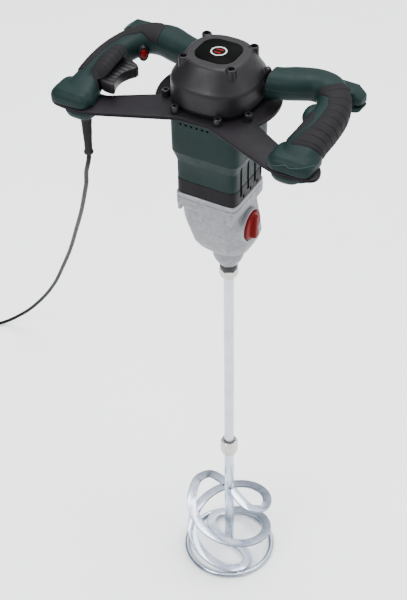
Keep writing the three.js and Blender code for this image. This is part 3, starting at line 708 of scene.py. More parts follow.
def make_couplings():
    bore = [(9.9, NUT_HIGH), (9.6, NUT_HIGH - 0.4), (9.6, NUT_HIGH - 4), (7.2, NUT_HIGH - 4), (7.2, NUT_LOW)]
    nut = hexagon_nut(NUT_LOW, NUT_HIGH, NUT_FLATS, 4.0, 1.6, bore)
    piece("coupling_nut_body", [nut], "spindle_drive", NICKEL, ("coupling_nut",), crease=22)
    teeth = []
    for angle in around(12):
        tooth = box((7.4, -1.0, NUT_HIGH - 3.9), (9.5, 1.0, NUT_HIGH - 0.9))
        teeth.append(moved(tooth, Matrix.Rotation(angle, 3, "Z")))
    piece("coupling_nut_teeth", teeth, "spindle_drive", NICKEL, bevel=0.3)
    # A dark ring on the floor of the top recess, standing in for the shade between the teeth.
    recess = [(7.1, NUT_HIGH - 4.6), (9.5, NUT_HIGH - 4.6), (9.5, NUT_HIGH - 3.7), (7.1, NUT_HIGH - 3.7)]
    piece("coupling_nut_recess_shade", [turned(recess, 64, wrap=True)], "spindle_drive", DARK_STEEL)

    bore = [(7.4, ADAPTOR_HIGH), (7.2, ADAPTOR_HIGH - 0.3), (7.2, ADAPTOR_LOW)]
    adaptor = hexagon_nut(ADAPTOR_LOW, ADAPTOR_HIGH, NUT_FLATS, 3.0, 1.0, bore)
    piece("hex_adaptor_body", [adaptor], "spindle_drive", NICKEL, ("hex_adaptor",), crease=22)
    collar = [(6.4, COLLAR_LOW), (11.4, COLLAR_LOW), (12.2, COLLAR_LOW + 0.9), (12.2, COLLAR_HIGH - 3.4),
              (11.7, COLLAR_HIGH - 3.0), (11.7, COLLAR_HIGH - 2.2), (12.2, COLLAR_HIGH - 1.8),
              (12.2, COLLAR_HIGH - 0.8), (11.5, COLLAR_HIGH), (6.4, COLLAR_HIGH)]
    piece("spindle_collar_body", [turned(collar, 72, wrap=True)], "spindle_drive", DARK_STEEL,
          ("spindle_collar",), crease=30)


make_paddle()
make_rods()
make_couplings()

# ---- gearbox, selector and motor housing ---------------------------------------------------------

BOWL = ((606, 22), (613, 29), (621, 35.5), (635, 39.5), (655, 39.5), (675, 38.5), (702, 38))
BODY_Y = -22.5
BODY_DEPTH = 0.96


def level(pairs, z):
    """A value on straight lines between (z, value) pairs."""
    for (z0, a), (z1, b) in zip(pairs, pairs[1:]):
        if z <= z1:
            return a + (b - a) * max(0.0, (z - z0) / (z1 - z0))
    return pairs[-1][1]


def bowl_ring(z, inset, count=112):
    """A level ring of the casting: a rounded square with cut corners, leaning back to the spindle."""
    half = level(BOWL, z) - inset
    middle = BODY_Y + eased([(606, -BODY_Y), (704, 0.0)], z)
    cut = half * eased([(606, 1.06), (640, 1.17), (680, 1.26)], z)
    near_cut = half * eased([(606, 1.05), (640, 1.11), (680, 1.15)], z)
    ring = []
    for angle in around(count):
        x, y = unit_squared(angle, eased([(606, 2.2), (640, 5.0), (680, 12.0)], z))
        x, y = x * half, y * half
        past = (abs(x) + abs(y)) / math.sqrt(2) - (near_cut if x > 0 > y else cut)
        if past > 0:
            x -= math.copysign(past / math.sqrt(2), x)
            y -= math.copysign(past / math.sqrt(2), y)
        ring.append(Vector((x, middle + y * BODY_DEPTH, z)))
    return ring


LAYSHAFT = (-16.96, -13.38)
SHAFT_ROOM = turned([(0, 712), (11.6, 712), (11.6, 726), (0, 726)], 48, (0, MOTOR_Y))


def make_gearbox():
    heights = [606 + 4 * k for k in range(25)]
    outer = [bowl_ring(z, 0) for z in heights]
    inner = [bowl_ring(max(z, 612), 3.6) for z in reversed(heights)]
    for ring, z in zip(inner, reversed(heights)):
        for v in ring:
            v.z = max(z, 610)
    bowl = loft(outer + inner, wrap=True)
    neck = turned([
        (8, 579.4), (12.2, 579.4), (13.4, 580.4), (15.5, 584.6), (18.4, 589), (20.4, 594), (21, 598), (21, 612),
        (20, 614), (14, 616), (8, 616),
    ], 96, wrap=True)
    sideways = Matrix.Rotation(math.pi / 2, 3, "Y")
    boss = turned([
        (11, 31), (24.5, 31), (23.6, 36), (23, 39), (23, KNOB_FACE - 0.8), (22.4, KNOB_FACE), (21, KNOB_FACE),
        (20.6, KNOB_FACE - 1), (11, KNOB_FACE - 1),
    ], 96, wrap=True)
    boss = moved(boss, sideways, (0, MOTOR_Y, KNOB_Z))
    hole = moved(turned([(0, 20), (10, 20), (10, 60), (0, 60)], 40), sideways, (0, MOTOR_Y, KNOB_Z))
    low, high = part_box("output_gear")
    bottom, top, reach = low[2] / MM - 0.9, high[2] / MM + 0.9, (high[0] - low[0]) / 2 / MM + 0.9
    gear_room = turned([(0, bottom), (reach, bottom), (reach, top), (0, top)], 64)
    spindle_room = turned([(0, 609), (9.8, 609), (9.8, 657), (0, 657)], 64)
    piece("gearbox_casting", [bowl, neck, boss], "head", CASTING, ("gearbox_housing",),
          voxel=1.0, relax=3, cutters=[hole, gear_room, spindle_room])

    flange = [(35.5, 700), (39, 700), (41.4, 702.4), (42.9, 705), (43, 707), (43, 716.4), (42.2, 717.0), (42.2, 717.9),
              (43, 718.5), (43, 722.6), (42.2, 723.8), (35.5, 723.8)]
    piece("gearbox_flange", [turned(flange, 200, (0, BODY_Y), 11.0, wrap=True, depth=BODY_DEPTH)], "head",
          CASTING, crease=24)
    ribs = [box((31, BODY_Y - 41.2, 696), (38.5, BODY_Y - 33, 712)), box((-38.5, BODY_Y - 41.2, 698), (-34, BODY_Y - 33, 712))]
    piece("gearbox_ribs", ribs, "head", CASTING, bevel=0.8)
    seat = turned([(11.5, 714.3), (38.4, 714.3), (38.6, 714.8), (38.6, 722.2), (11.5, 722.2)], 120, (0, BODY_Y), 11.0,
                  wrap=True, depth=BODY_DEPTH)
    piece("bearing_plate_disc", [seat], "head", CASTING, ("bearing_plate",), cutters=[
        turned([(0, 710), (4.5, 710), (4.5, 726), (0, 726)], 32, LAYSHAFT), moved(SHAFT_ROOM),
        turned([(0, 710), (8.5, 710), (8.5, 726), (0, 726)], 32)], crease=30)


def make_selector():
    sideways = Matrix.Rotation(math.pi / 2, 3, "Y")
    low = KNOB_FACE + 0.35
    disc = turned([(0, low), (19.2, low), (20, low + 0.8), (20, 47.2), (19.2, 48.2), (17.5, 48.6), (0, 48.8)], 120,
                  ripple=lambda angle, z: 1 + (0.008 * math.cos(30 * angle) if z < 47.5 else 0))
    wedge_plan = [(-16.5, -3.4), (15.4, -6.2), (18.6, 0), (15.4, 6.2), (-16.5, 3.4)]
    wedge = slab(wedge_plan, [(0, 47), (0.2, 51.5), (0.9, 53.4), (2.2, 54)])
    stem = turned([(0, 34), (9.2, 34), (9.2, low + 1), (0, low + 1)], 48)
    parts = [moved(part, sideways, (0, MOTOR_Y, KNOB_Z)) for part in (disc, wedge, stem)]
    rim = turned([(20.8, 34), (22.9, 34), (22.9, KNOB_FACE + 1.6), (22.4, KNOB_FACE + 2.4), (21.4, KNOB_FACE + 2.4),
                  (20.8, KNOB_FACE + 1.8)], 120, wrap=True)
    piece("selector_boss_rim", [moved(rim, sideways, (0, MOTOR_Y, KNOB_Z))], "head", CASTING,
          crease=30)
    piece("gear_selector_knob", parts, "gear_selector", RED, ("gear_selector",), voxel=0.6, relax=2)


def front_cylinder(x, z, radius):
    """A cutter that points through the front wall."""
    quarter = Matrix.Rotation(math.pi / 2, 3, "X")
    return moved(turned([(0, 30), (radius, 30), (radius, 90), (0, 90)], 24), quarter, (x, MOTOR_Y + 10, z))


SLOT_ROWS = (-45.5, -27, -9, 7)


def side_slots(low, high, wide):
    slots = []
    for side in (1, -1):
        for y in SLOT_ROWS:
            x0, x1 = sorted((side * 38.5, side * 56))
            slots.append(box((x0, y - wide / 2, low), (x1, y + wide / 2, high)))
    return slots


def make_housing():
    centre = (0, BODY_Y)
    shell = [(41.7, BAFFLE_TOP + 0.4), (42, BAFFLE_TOP + 1), (42.1, STEP_LOW), (42.5, STEP_LOW + 1.2),
             (46.4, STEP_LOW + 14), (47.0, STEP_LOW + 15.5), (47.2, 810), (47.6, 846), (47.6, 850.6),
             (44.4, 850.6), (44, 790), (39.4, STEP_LOW), (39.4, BAFFLE_TOP + 0.4)]
    cutters = side_slots(BAFFLE_TOP - 2, 777, 5.0)
    cutters += [front_cylinder(-28.6 + 7.35 * k, 832, 1.8) for k in range(6)]
    piece("motor_housing_shell", [turned(shell, 240, centre, 9.0, wrap=True, depth=BODY_DEPTH)], "head",
          GREEN, ("motor_housing",), cutters=cutters, crease=20)
    lip = [(45, 844.4), (66.8, 844.4), (68, 845.2), (68.5, 846.4), (68.5, 850.6), (45, 850.6)]
    notch = lambda angle, z: 1 - (0.02 if math.cos(36 * angle) > 0.55 and z < 849 else 0)
    piece("motor_housing_lip", [turned(lip, 288, (0, MOTOR_Y), wrap=True, ripple=notch)], "head",
          GREEN, cutters=[box((-80, -110, 840), (80, -79, 856))], crease=25)

    band = [(39.2, GEARBOX_TOP + 0.3), (41.8, GEARBOX_TOP + 0.3), (42.2, GEARBOX_TOP + 0.9), (42.2, BAFFLE_TOP - 0.6),
            (41.8, BAFFLE_TOP), (39.2, BAFFLE_TOP)]
    cutters = side_slots(733, BAFFLE_TOP + 2, 5.0)
    for side in (1, -1):
        for y in SLOT_ROWS:
            turn = Matrix.Rotation(side * math.pi / 2, 3, "Y")
            cutters.append(moved(turned([(0, 30), (2.6, 30), (2.6, 60), (0, 60)], 24), turn, (0, y + 6.5, 730)))
    piece("air_baffle_band", [turned(band, 240, centre, 9.0, wrap=True, depth=BODY_DEPTH)], "head",
          BAFFLE, ("air_baffle",), cutters=cutters, crease=25)
    # Black plates behind each vent slot, standing in for the shade inside the housing.
    slot_shade_plates = []
    for side in (1, -1):
        x0, x1 = sorted((side * 37.6, side * 40.2))
        for y in SLOT_ROWS:
            slot_shade_plates.append(box((x0, y - 3.6, 727), (x1, y + 3.6, 779)))
    piece("vent_slot_shade", slot_shade_plates, "head", BLACK, bevel=0.4)

    core = turned([(23.6, 764.4), (36.4, 764.4), (37, 765), (37, 825.4), (36.4, 826), (23.6, 826)], 144, (0, MOTOR_Y),
                  wrap=True, ripple=lambda a, z: 1 - 0.012 * (math.cos(12 * a) > 0.8))
    piece("stator_stack", [core], "head", MACHINED, ("stator",), crease=30)


make_gearbox()
make_selector()
make_housing()

# ---- end cap -------------------------------------------------------------------------------------


def rounded_outline(width, depth, radius, steps=10, centre=(0, 0)):
    points = []
    for quarter, (x, y) in enumerate(((1, 1), (-1, 1), (-1, -1), (1, -1))):
        for k in range(steps + 1):
            angle = math.pi / 2 * (quarter + k / steps)
            points.append((centre[0] + x * (width / 2 - radius) + radius * math.cos(angle),
                           centre[1] + y * (depth / 2 - radius) + radius * math.sin(angle)))
    return points


def make_cap():
    low = PLATE_HIGH + 0.35
    shell = [(51.6, low), (51.6, 860.6), (54, 861), (55, 862.4), (54.9, 874), (54.6, 886), (53.6, 889.6),
             (51.4, 892.8), (45.6, 903), (40.8, 911.4), (38.4, 914.8), (35.5, 916.4), (0, 917)]
    inside = [(0, 912.5), (34, 911.5), (38, 908.5), (48, 892), (50, 888), (50, 870), (48.4, low)]
    body = turned(shell + inside, 160, (0, MOTOR_Y), 2.5, wrap=True)
    parts, cutters = [body], []
    for x, y in ((1, -1), (-1, -1), (1, 1), (-1, 1)):
        place = (CAP_SCREW[0] * x, MOTOR_Y + CAP_SCREW[1] * y, 0)
        parts.append(moved(turned([(0, 872), (6.2, 872), (6.0, 916.6), (5.4, 917.8), (0, 917.8)], 40), None, place))
        cutters.append(moved(turned([(0, 909.3), (4.2, 909.3), (4.2, 922), (0, 922)], 40), None, place))
    parts.append(turned([(0, 858), (4.6, 858), (4.6, 893), (3.6, 896), (0, 896.6)], 32, (52.5, 1.5)))
    seat = slab(rounded_outline(52.6, 50.6, 17.4, centre=(0, MOTOR_Y)), [(0, 915.5), (0, 922)])
    piece("end_cap_body", parts, "head", CHARCOAL, ("end_cap",), cutters=cutters + [seat],
          voxel=0.9, relax=2)
    label = slab(rounded_outline(51, 49, 16.5, centre=(0, MOTOR_Y)), [(0.6, 915.6), (0, 916), (0, 916.4), (0.5, 916.8)])
    piece("label_plate", [label], "head", LABEL, ("badge_plate",), crease=60)
    ring = [(8.2, 916.7), (8.4, 917.0), (9.8, 917.0), (10, 916.7)]
    piece("label_ring", [turned(ring, 96, (0, MOTOR_Y), wrap=True)], "head", WHITE_INK)
    bars = []
    for shift in (-3.2, 3.2):
        plan = rounded_outline(9.5, 2.6, 1.2, 6, centre=(0, MOTOR_Y + shift))
        bars.append(slab(plan, [(0, 916.7), (0.1, 917.0)]))
    piece("label_bars", bars, "head", RED)

    for k, (x, y) in enumerate(((-1, -1), (1, -1), (-1, 1), (1, 1))):
        place = (CAP_SCREW[0] * x, MOTOR_Y + CAP_SCREW[1] * y, 0)
        head = turned([(0, 909.4), (3.9, 909.4), (3.9, 911.4), (3.3, 912.8), (2.0, 913.4), (0, 913.5)], 40)
        cross = [box((-2.2, -0.5, 912), (2.2, 0.5, 915)), box((-0.5, -2.2, 912), (0.5, 2.2, 915))]
        piece(f"cap_screw_{k + 1}_head", [moved(head, None, place)], "head", DARK_STEEL,
              (f"cap_screw_{k + 1}",), cutters=[moved(c, None, place) for c in cross], crease=25)


# ---- frame plate and its bolts -------------------------------------------------------------------

FLANGE_RADIUS = 77.0


def quadratic(a, b, c, steps=10):
    a, b, c = Vector(a), Vector(b), Vector(c)
    return [tuple(a.lerp(b, k / steps).lerp(b.lerp(c, k / steps), k / steps)) for k in range(steps + 1)]


def plate_outline():
    """The plate's whole edge, anticlockwise from above."""
    right = [(0, -87.5), (20, -87.5), (112, -125.5)]
    right += quadratic((112, -125.5), (126, -131), (140, -131))[1:] + [(160, -129)]
    right += quadratic((160, -129), (181, -127), (176, -109))[1:]
    right += quadratic((176, -109), (172, -93), (148, -89))[1:] + [(118, -86)]
    join = math.asin((-57 - MOTOR_Y) / FLANGE_RADIUS)
    steps = 40
    for k in range(steps + 1):
        angle = join + (math.pi / 2 - join) * k / steps
        right.append((FLANGE_RADIUS * math.cos(angle), MOTOR_Y + FLANGE_RADIUS * math.sin(angle)))
    left = [(-x, y) for x, y in reversed(right[1:-1])]
    return right + left


def make_plate():
    layers = [(0.9, PLATE_LOW), (0.2, PLATE_LOW + 0.5), (0, PLATE_LOW + 1.0), (0, 852.9), (0.7, 853.2),
              (0.7, 853.6), (0, 853.9), (0, PLATE_HIGH - 0.9), (0.25, PLATE_HIGH - 0.3), (0.9, PLATE_HIGH)]
    piece("frame_plate_sheet", [slab(plate_outline(), layers)], "head", PAINT, ("frame_plate",),
          cutters=[turned([(0, 840), (40, 840), (40, 860), (0, 860)], 96, (0, MOTOR_Y))], crease=30)


def socket_screw(place, top):
    """A knurled socket head cap screw with its hexagon recess, its head standing on the plate."""
    low = PLATE_HIGH + 0.1
    knurl = lambda z: 0.14 if low + 1.0 < z < top - 1.4 else 0.0
    rings = []
    for radius, z in ((0.01, low), (4.5, low), (4.8, low + 0.4), (4.8, low + 0.9), (4.8, low + 1.2),
                      (4.8, top - 1.6), (4.8, top - 1.3), (4.6, top - 0.6), (4.1, top)):
        rings.append([Vector(((radius + knurl(z) * math.cos(30 * a)) * math.cos(a),
                              (radius + knurl(z) * math.cos(30 * a)) * math.sin(a), z)) for a in around(120)])
    rings.append(hexagon_ring(5.2, 3.0, top))
    rings.append(hexagon_ring(5.0, 2.9, top - 0.3))
    rings.append(hexagon_ring(5.0, 2.9, top - 4))
    rings.append([Vector((0.01 * math.cos(a), 0.01 * math.sin(a), top - 4.6)) for a in around(120)])
    return moved(loft(rings), None, place)


def make_plate_bolts():
    places = []
    for angle in BOLT_ANGLES:
        for side in (1, -1):
            a = math.radians(angle)
            places.append((side * BOLT_CIRCLE * math.sin(a), MOTOR_Y - BOLT_CIRCLE * math.cos(a), 0))
    for k, place in enumerate(places):
        piece(f"plate_bolt_{k + 1}_head", [socket_screw(place, PLATE_HIGH + 9.2)], "head",
              DARK_STEEL, (f"plate_bolt_{k + 1}",), crease=28)


make_cap()
make_plate()
make_plate_bolts()

# ---- handles -------------------------------------------------------------------------------------

RIGHT = Route([
    (142, -124, 858), (145, -104, 863), (147, -80, 868), (149, -52, 872), (147, -22, 874), (140, -1, 877),
    (128, 13, 880), (110, 15, 881), (92, 8, 881.5), (74, 0, 881), (38, -8, 880),
])
LEFT = Route([
    (-142, -124, 858), (-144, -104, 862), (-145, -80, 867), (-145, -52, 871), (-142, -22, 873), (-134, -3, 876),
    (-121, 10, 880), (-107, 16, 881.5), (-91, 17, 882), (-75, 13, 881), (-38, 3, 880),
])
GRIP_WIDE = [(0, 23), (0.1, 22.5), (0.22, 20), (0.6, 19.5), (0.7, 19.5), (0.78, 20.5), (0.9, 18.5), (1, 17)]
GRIP_HIGH = [(0, 14), (0.15, 17.5), (0.4, 18), (1, 17.5)]
LEFT_SLIM = [(0, 0), (0.2, 3), (0.6, 3), (0.75, 0)]
FINGER_SHELF = 11.5


def on_grip(route, t, angle, out=0.0):
    """A point on a grip's skin; angle is 0 on the outer side, 90 on top and 180 on the inner side."""
    centre, side, up = route.at(t)
    slim = eased(LEFT_SLIM, t) if route is LEFT else 0.0
    theta = math.radians(180 - angle if route is LEFT else angle)
    x, y = unit_squared(theta, 2.6)
    if route is LEFT:
        out += FINGER_SHELF * eased([(0.14, 0), (0.22, 1), (0.38, 1), (0.47, 0)], t) * eased(
            [(95, 0), (130, 1), (146, 1), (163, 0)], angle % 360)
    wide = eased(GRIP_WIDE, t) - slim + out
    high = eased(GRIP_HIGH, t) - slim / 2 + out
    return centre + side * (x * wide) + up * (y * high)


def grip_loft(route, start, end, steps, out=0.0):
    rings = []
    for k in range(steps + 1):
        t = start + (end - start) * k / steps
        rings.append([on_grip(route, t, 360 * j / 72, out) for j in range(72)])
    return loft(rings)


def overmould(route, start, end, low, high, thick=1.9, ends=5.0, pitch=0.0, slant=0.0, groove=0.9,
              lean=0.0):
    """A raised skin on a grip from t start to end, between the angle limits low and high, which are
    (t, angle) pairs. Its ends are rounded, its border swells up, and ribs run across it at pitch mm."""
    long_steps, cross_steps = (190 if pitch else 90), 36
    outer, inner = [], []
    for i in range(long_steps + 1):
        u = 2 * i / long_steps - 1
        middle = start + (end - start) * (u + 1) / 2
        reach = max(0.0, 1 - abs(u) ** ends) ** (1 / ends)
        a, b = eased(low, middle), eased(high, middle)
        for_outer, for_inner = [], []
        for j in range(cross_steps + 1):
            v = 2 * j / cross_steps - 1
            angle = (a + b) / 2 + (b - a) / 2 * reach * v
            t = middle + lean * v * (1 - u) / 2
            border = max(abs(u) ** 30, abs(v) ** 10)
            out = thick * (1 - border) - 0.5 * border
            if pitch:
                along = (t * route.length + slant * v) / pitch
                wave = abs(along - round(along)) * pitch
                out -= groove * math.exp(-(wave / 0.75) ** 2) * (1 - abs(v) ** 6)
            for_outer.append(on_grip(route, t, angle, out))
            for_inner.append(on_grip(route, t, angle, -1.6))
        outer.append(for_outer)
        inner.append(for_inner)
    rings = [front + back[::-1] for front, back in zip(outer, inner)]
    return loft(rings)


def laid_line(name, surface, points, radius, finish, sink=0.3):
    """A thin moulding line laid along a piece's skin through points near it."""
    path = []
    for p in spline(points, 12):
        hit, place, normal, _ = surface.closest_point_on_mesh(p * MM)
        path.append(place / MM - normal * (radius * sink))
    rings = []
    for k, p in enumerate(path):
        along = (path[min(k + 1, len(path) - 1)] - path[max(k - 1, 0)]).normalized()
        side = along.cross(Vector((0.3, 0.2, 1))).normalized()
        up = side.cross(along)
        rings.append([p + (side * math.cos(a) + up * math.sin(a)) * radius for a in around(8)])
    return piece(name, [loft(rings)], "head", finish)


def foot(centre_x, stretch):
    """The foot that stands on the plate, under the front end of a grip."""
    profile = [(24, PLATE_HIGH + 0.35), (25, PLATE_HIGH + 1.4), (25, 864.5), (24.2, 867.6), (21.0, 871.8),
               (18.5, 873.4), (12, 874.6), (6, 875), (0, 875.2)]
    verts, faces = turned(profile, 96, (0, 0), 4.6)
    return [Vector((centre_x + v.x * stretch, -108.5 + v.y * 0.88, v.z)) for v in verts], faces


def bumper(side):
    """The block on the outside of a handle's back corner, with a slot in its end."""
    plan = [(118, 12), (122, 14), (160, 8), (166, 10.2), (169, 13), (171, 24), (169.4, 28), (165, 30), (122, 31)]
    rings = []
    tuck = 0 if side > 0 else 11
    rise = 4 if side > 0 else 5
    for z, limit in ((862, 165), (863, 168), (867, 172), (876, 172), (878 + rise / 2, 170), (884 + rise, 159),
                     (884.6 + rise, 156)):
        ring = [Vector((side * (min(x, limit) - tuck), y + tuck / 2, z)) for x, y in plan]
        rings.append(ring)
    x0, x1 = sorted((side * (160 - tuck), side * (175 - tuck)))
    slots = [box((x0, 3, 868), (x1, 42, 872.2))]
    return loft(rings), slots


def make_handle(hand, route, side):
    behind_cap = turned([(0, 840), (55.5, 840), (55.5, 893), (52, 898), (40, 914), (0, 920)], 120, (0, MOTOR_Y), 2.5)
    parts = [grip_loft(route, 0.02, 0.985, 110), foot(143 if side > 0 else -149, 1.13 if side > 0 else 1.06)]
    cutters = [behind_cap, box((-200, -200, 820), (200, 100, PLATE_HIGH + 0.35))]
    if side > 0:
        bulge = []
        for k in range(1, 16):
            tilt = math.pi * k / 16
            bulge.append([Vector((129 + 10 * math.sin(tilt) * math.cos(a), -36 - 17 * math.cos(tilt),
                                  876 + 10.5 * math.sin(tilt) * math.sin(a))) for a in around(32)])
        parts.append(loft(bulge))
        cutters.append(box((30, -60, 850), (61, 60, 910)))
    else:
        cutters += trigger_room()
        cutters.append(aimed([(0, -5), (7.0, -5), (7.0, 12), (0, 12)]))
    core = piece(f"{hand}_handle_shell", parts, "head", GREEN, (f"{hand}_handle",),
                 cutters=cutters, voxel=1.3, relax=3)

    block, slots = bumper(side)
    piece(f"{hand}_bumper_block", [block], "head", GREEN, (f"{hand}_bumper",), cutters=slots,
          bevel=1.0, crease=30)
    # A black block at the back of the slot, standing in for the shade inside it.
    inner, outer = (150, 165) if side > 0 else (140, 154)
    x0, x1 = sorted((side * inner, side * outer))
    piece(f"{hand}_bumper_slot_shade", [box((x0, 14, 866), (x1, 27, 874))], "head", BLACK, bevel=0.5)
    return core


def aimed(profile, count=48, wrap=False):
    """An oval turned piece along the lock button's travel, narrow from side to side."""
    verts, faces = turned(profile, count, wrap=wrap)
    turn = Matrix((BUTTON_AXIS.cross(Vector((0, 0, 1))), Vector((0, 0, 1)), BUTTON_AXIS)).transposed()
    return moved(([Vector((v.x * 0.74, v.y * 1.12, v.z)) for v in verts], faces), turn, BUTTON_PLACE)


TRIGGER_OUTLINE = [(-122, -31), (-130, -33), (-132, -40), (-130.5, -62), (-127, -88), (-120, -91), (-113, -92),
                   (-107.5, -92), (-105, -90)]
TRIGGER_HALF = 7.5
TRIGGER_PIVOT = Vector((-127.0, -36.0, 870.0))


def trigger_shape(grow=0.0):
    outline = TRIGGER_OUTLINE + quadratic((-105, -90), (-117, -66), (-101, -47), 14)[1:]
    outline += [(-100.6, -42), (-104, -38), (-113, -33.5)]
    layers = [(2.2, -TRIGGER_HALF), (0.7, -TRIGGER_HALF + 0.8), (0, -TRIGGER_HALF + 2.6), (0, TRIGGER_HALF - 2.6),
              (0.7, TRIGGER_HALF - 0.8), (2.2, TRIGGER_HALF)]
    if grow:
        layers = [(-grow, -TRIGGER_HALF - grow), (-grow, TRIGGER_HALF + grow)]
    return slab(outline, [(inset, TRIGGER_Z + z) for inset, z in layers])


def trigger_room():
    """The space in the handle that the trigger sweeps."""
    room = []
    for degrees in (0, 3, 6, 8.5):
        verts, faces = trigger_shape(0.9)
        turn = Matrix.Rotation(math.radians(-degrees), 3, "Z")
        room.append(([turn @ (v - TRIGGER_PIVOT) + TRIGGER_PIVOT for v in verts], faces))
    return room


def make_controls():
    top = TRIGGER_Z + TRIGGER_HALF
    ribs = [box((-140, y - 0.7, top - 0.9), (-96, y + 0.7, top + 2)) for y in range(-86, -38, 7)]
    piece("trigger_lever", [trigger_shape()], "trigger", CHARCOAL, ("trigger",), cutters=ribs,
          bevel=0.3, crease=40)
    cap = [(0, -3.6), (3.2, -3.4), (5.2, -2.8), (6.1, -1.6), (6.2, 1), (6.2, 8.6), (0, 8.6)]
    piece("lock_button_cap", [aimed(cap)], "lock_button", RED, ("lock_button",), crease=40)
    bezel = [(6.7, -1.4), (7.1, -2.2), (8.6, -1.8), (9.4, -0.2), (9.4, 4), (6.7, 4)]
    piece("lock_button_bezel", [aimed(bezel, wrap=True)], "head", BLACK)


def front_cap(side):
    top = PLATE_LOW - 0.35
    profile = [(0, top - 14), (8, top - 13.7), (12.5, top - 12.8), (16, top - 11), (18.6, top - 8.6),
               (20.2, top - 5), (21, top - 1), (21, top), (0, top)]
    parts = [turned(profile, 80, (side * 138, -110), 2.6)]
    if side > 0:
        shelf = [(138, -127), (158, -124), (165, -118), (164, -106), (158, -98), (138, -94)]
        parts.append(slab(shelf, [(2.5, top - 7.6), (0.8, top - 6.6), (0, top - 4.5), (0, top)]))
    return parts


def make_handles():
    right = make_handle("right", RIGHT, 1)
    left = make_handle("left", LEFT, -1)
    make_controls()
    for hand, side in (("right", 1), ("left", -1)):
        piece(f"{hand}_front_dome", front_cap(side), "head", GREEN, (f"{hand}_front_cap",),
              voxel=1.0, relax=3)

    sleeve = overmould(RIGHT, 0.118, 0.575, [(0.1, -30), (0.2, -58), (0.3, -72), (0.45, -60), (0.55, -10), (0.61, 40)],
                       [(0.1, 132), (0.18, 114), (0.27, 99), (0.4, 97), (0.46, 106), (0.53, 150), (0.57, 165)],
                       ends=10, pitch=11.5, slant=6.0, lean=-0.024)
    piece("right_grip_rubber", [sleeve], "head", RUBBER, ("right_grip_sleeve",), crease=50)
    strip = overmould(RIGHT, 0.13, 0.36, [(0.13, 140), (0.18, 121), (0.27, 107), (0.32, 113), (0.36, 138)],
                      [(0.13, 205), (0.34, 212)], thick=1.5)
    piece("right_thumb_rubber", [strip], "head", RUBBER, crease=50)

    strip = overmould(LEFT, 0.185, 0.74, [(0.18, -38), (0.5, -34), (0.62, 2), (0.7, 52), (0.74, 80)],
                      [(0.18, 72), (0.3, 80), (0.5, 88), (0.6, 112), (0.66, 158), (0.72, 172)], ends=14)
    piece("left_grip_rubber", [strip], "head", RUBBER, ("left_grip_strip",), crease=50)
    fingers = overmould(LEFT, 0.13, 0.44, [(0.13, 128), (0.2, 100), (0.3, 90), (0.38, 96), (0.44, 118)],
                        [(0.13, 172), (0.3, 160), (0.44, 156)], ends=4, pitch=8.0, slant=2.0, groove=0.7, thick=1.5)
    piece("left_finger_rubber", [fingers], "head", RUBBER, ("left_finger_pad",), cutters=trigger_room(),
          crease=50)

    for hand, route, surface in (("right", RIGHT, right), ("left", LEFT, left)):
        arm = [on_grip(route, t, 176) for t in (0.68, 0.72, 0.78, 0.84, 0.9, 0.93)]
        laid_line(f"{hand}_arm_seam", surface, arm, 0.45, BLACK, sink=0.5)
    piece("right_arm_collar", [grip_loft(RIGHT, 0.86, 0.985, 12, 0.8)], "head", CHARCOAL, cutters=[
        turned([(0, 840), (55.2, 840), (55.2, 893), (40, 914), (0, 920)], 120, (0, MOTOR_Y), 2.5),
        box((60.6, -60, 850), (120, 60, 910)), box((30, -60, 850), (61, 7.9, 910)),
        turned([(0, 850), (7.4, 850), (7.4, 905), (0, 905)], 48, (55.7, 7.9))], crease=30)
    # A real moulding seam, painted paler than the green as a highlight along it.
    edge = [(126, -127, 863), (132, -129, 865), (140, -127.5, 867), (146, -126, 865.5), (160, -122, 865.5), (168, -112, 865.5)]
    laid_line("right_foot_seam_highlight", right, [Vector(p) for p in edge], 0.4, GREEN_SEAM_HIGHLIGHT)


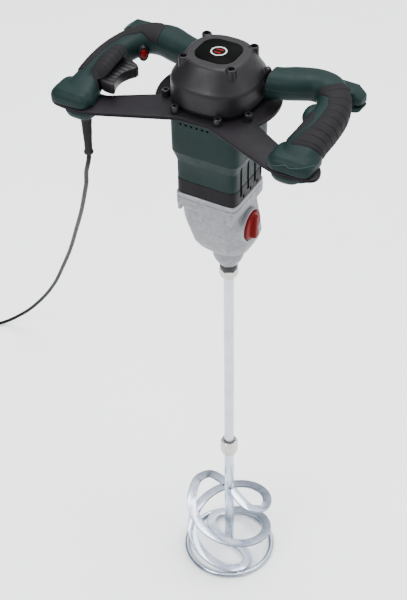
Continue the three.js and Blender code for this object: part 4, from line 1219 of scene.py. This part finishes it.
def make_relief():
    profile = [(0, 850.4), (7.4, 850.4), (7.6, 838), (6.9, 836.6)]
    for k in range(34):
        z = 836 - 1.4 * k
        base = eased([(785, 4.6), (800, 5.0), (822, 6.0), (836, 6.8)], z)
        profile += [(base, z), (base, z - 0.8), (base - 0.35, z - 1.0), (base - 0.35, z - 1.3)]
    profile = [p for p in profile if p[1] > 790.5]
    profile += [(4.5, 790), (5.8, 788.6), (6.1, 787), (5.9, 785.6), (5.0, 785), (3.1, 785), (3.1, 790), (0, 790)]
    tool = turned(profile, 48, (-132, -115))
    piece("cord_relief", [tool], "head", RELIEF_SKIN, ("strain_relief",), crease=35)


make_handles()
make_relief()

# ---- floor and light -----------------------------------------------------------------------------


def make_studio():
    floor = linked("studio_floor", mesh_of("studio_floor", [loft([
        [Vector((x, y, z)) for x, y in ((-9000, -9000), (9000, -9000), (9000, 9000), (-9000, 9000))]
        for z in (-20.0, -0.4)
    ])]))
    ground = Finish("studio_paper")
    ground.paint(ground.colours(ground.noise(3, 2), [(0.3, (0.90, 0.90, 0.905)), (0.7, (0.92, 0.92, 0.92))]))
    ground.set(Roughness=0.9)
    floor.data.materials.append(ground.material)

    world = bpy.data.worlds.new("studio")
    bpy.context.scene.world = world
    world.use_nodes = True
    nodes, links = world.node_tree.nodes, world.node_tree.links
    height = nodes.new("ShaderNodeVectorMath")
    height.operation = "DOT_PRODUCT"
    height.inputs[1].default_value = (0.42, 0.22, 0.88)
    ramp = nodes.new("ShaderNodeValToRGB")
    links.new(nodes.new("ShaderNodeTexCoord").outputs["Generated"], height.inputs[0])
    links.new(height.outputs["Value"], ramp.inputs["Fac"])
    stops = ramp.color_ramp.elements
    stops[0].position, stops[0].color = 0.08, (0.16, 0.17, 0.19, 1)
    stops[1].position, stops[1].color = 0.62, (0.96, 0.98, 1.0, 1)
    links.new(ramp.outputs["Color"], nodes["Background"].inputs["Color"])
    nodes["Background"].inputs["Strength"].default_value = 2.5

    for name, place, size, power in (
        ("key", (-0.8, -2.3, 2.3), 1.2, 80), ("top", (0.0, 0.6, 3.6), 2.2, 140), ("side", (2.6, 0.2, 1.8), 1.2, 14),
    ):
        lamp = bpy.data.lights.new(name, "AREA")
        lamp.size, lamp.energy = size, power
        light = bpy.data.objects.new(name, lamp)
        light.location = place
        aim = Vector((0, 0, 0.5)) - Vector(place)
        light.rotation_mode = "QUATERNION"
        light.rotation_quaternion = aim.to_track_quat("-Z", "Y")
        bpy.context.scene.collection.objects.link(light)


make_studio()
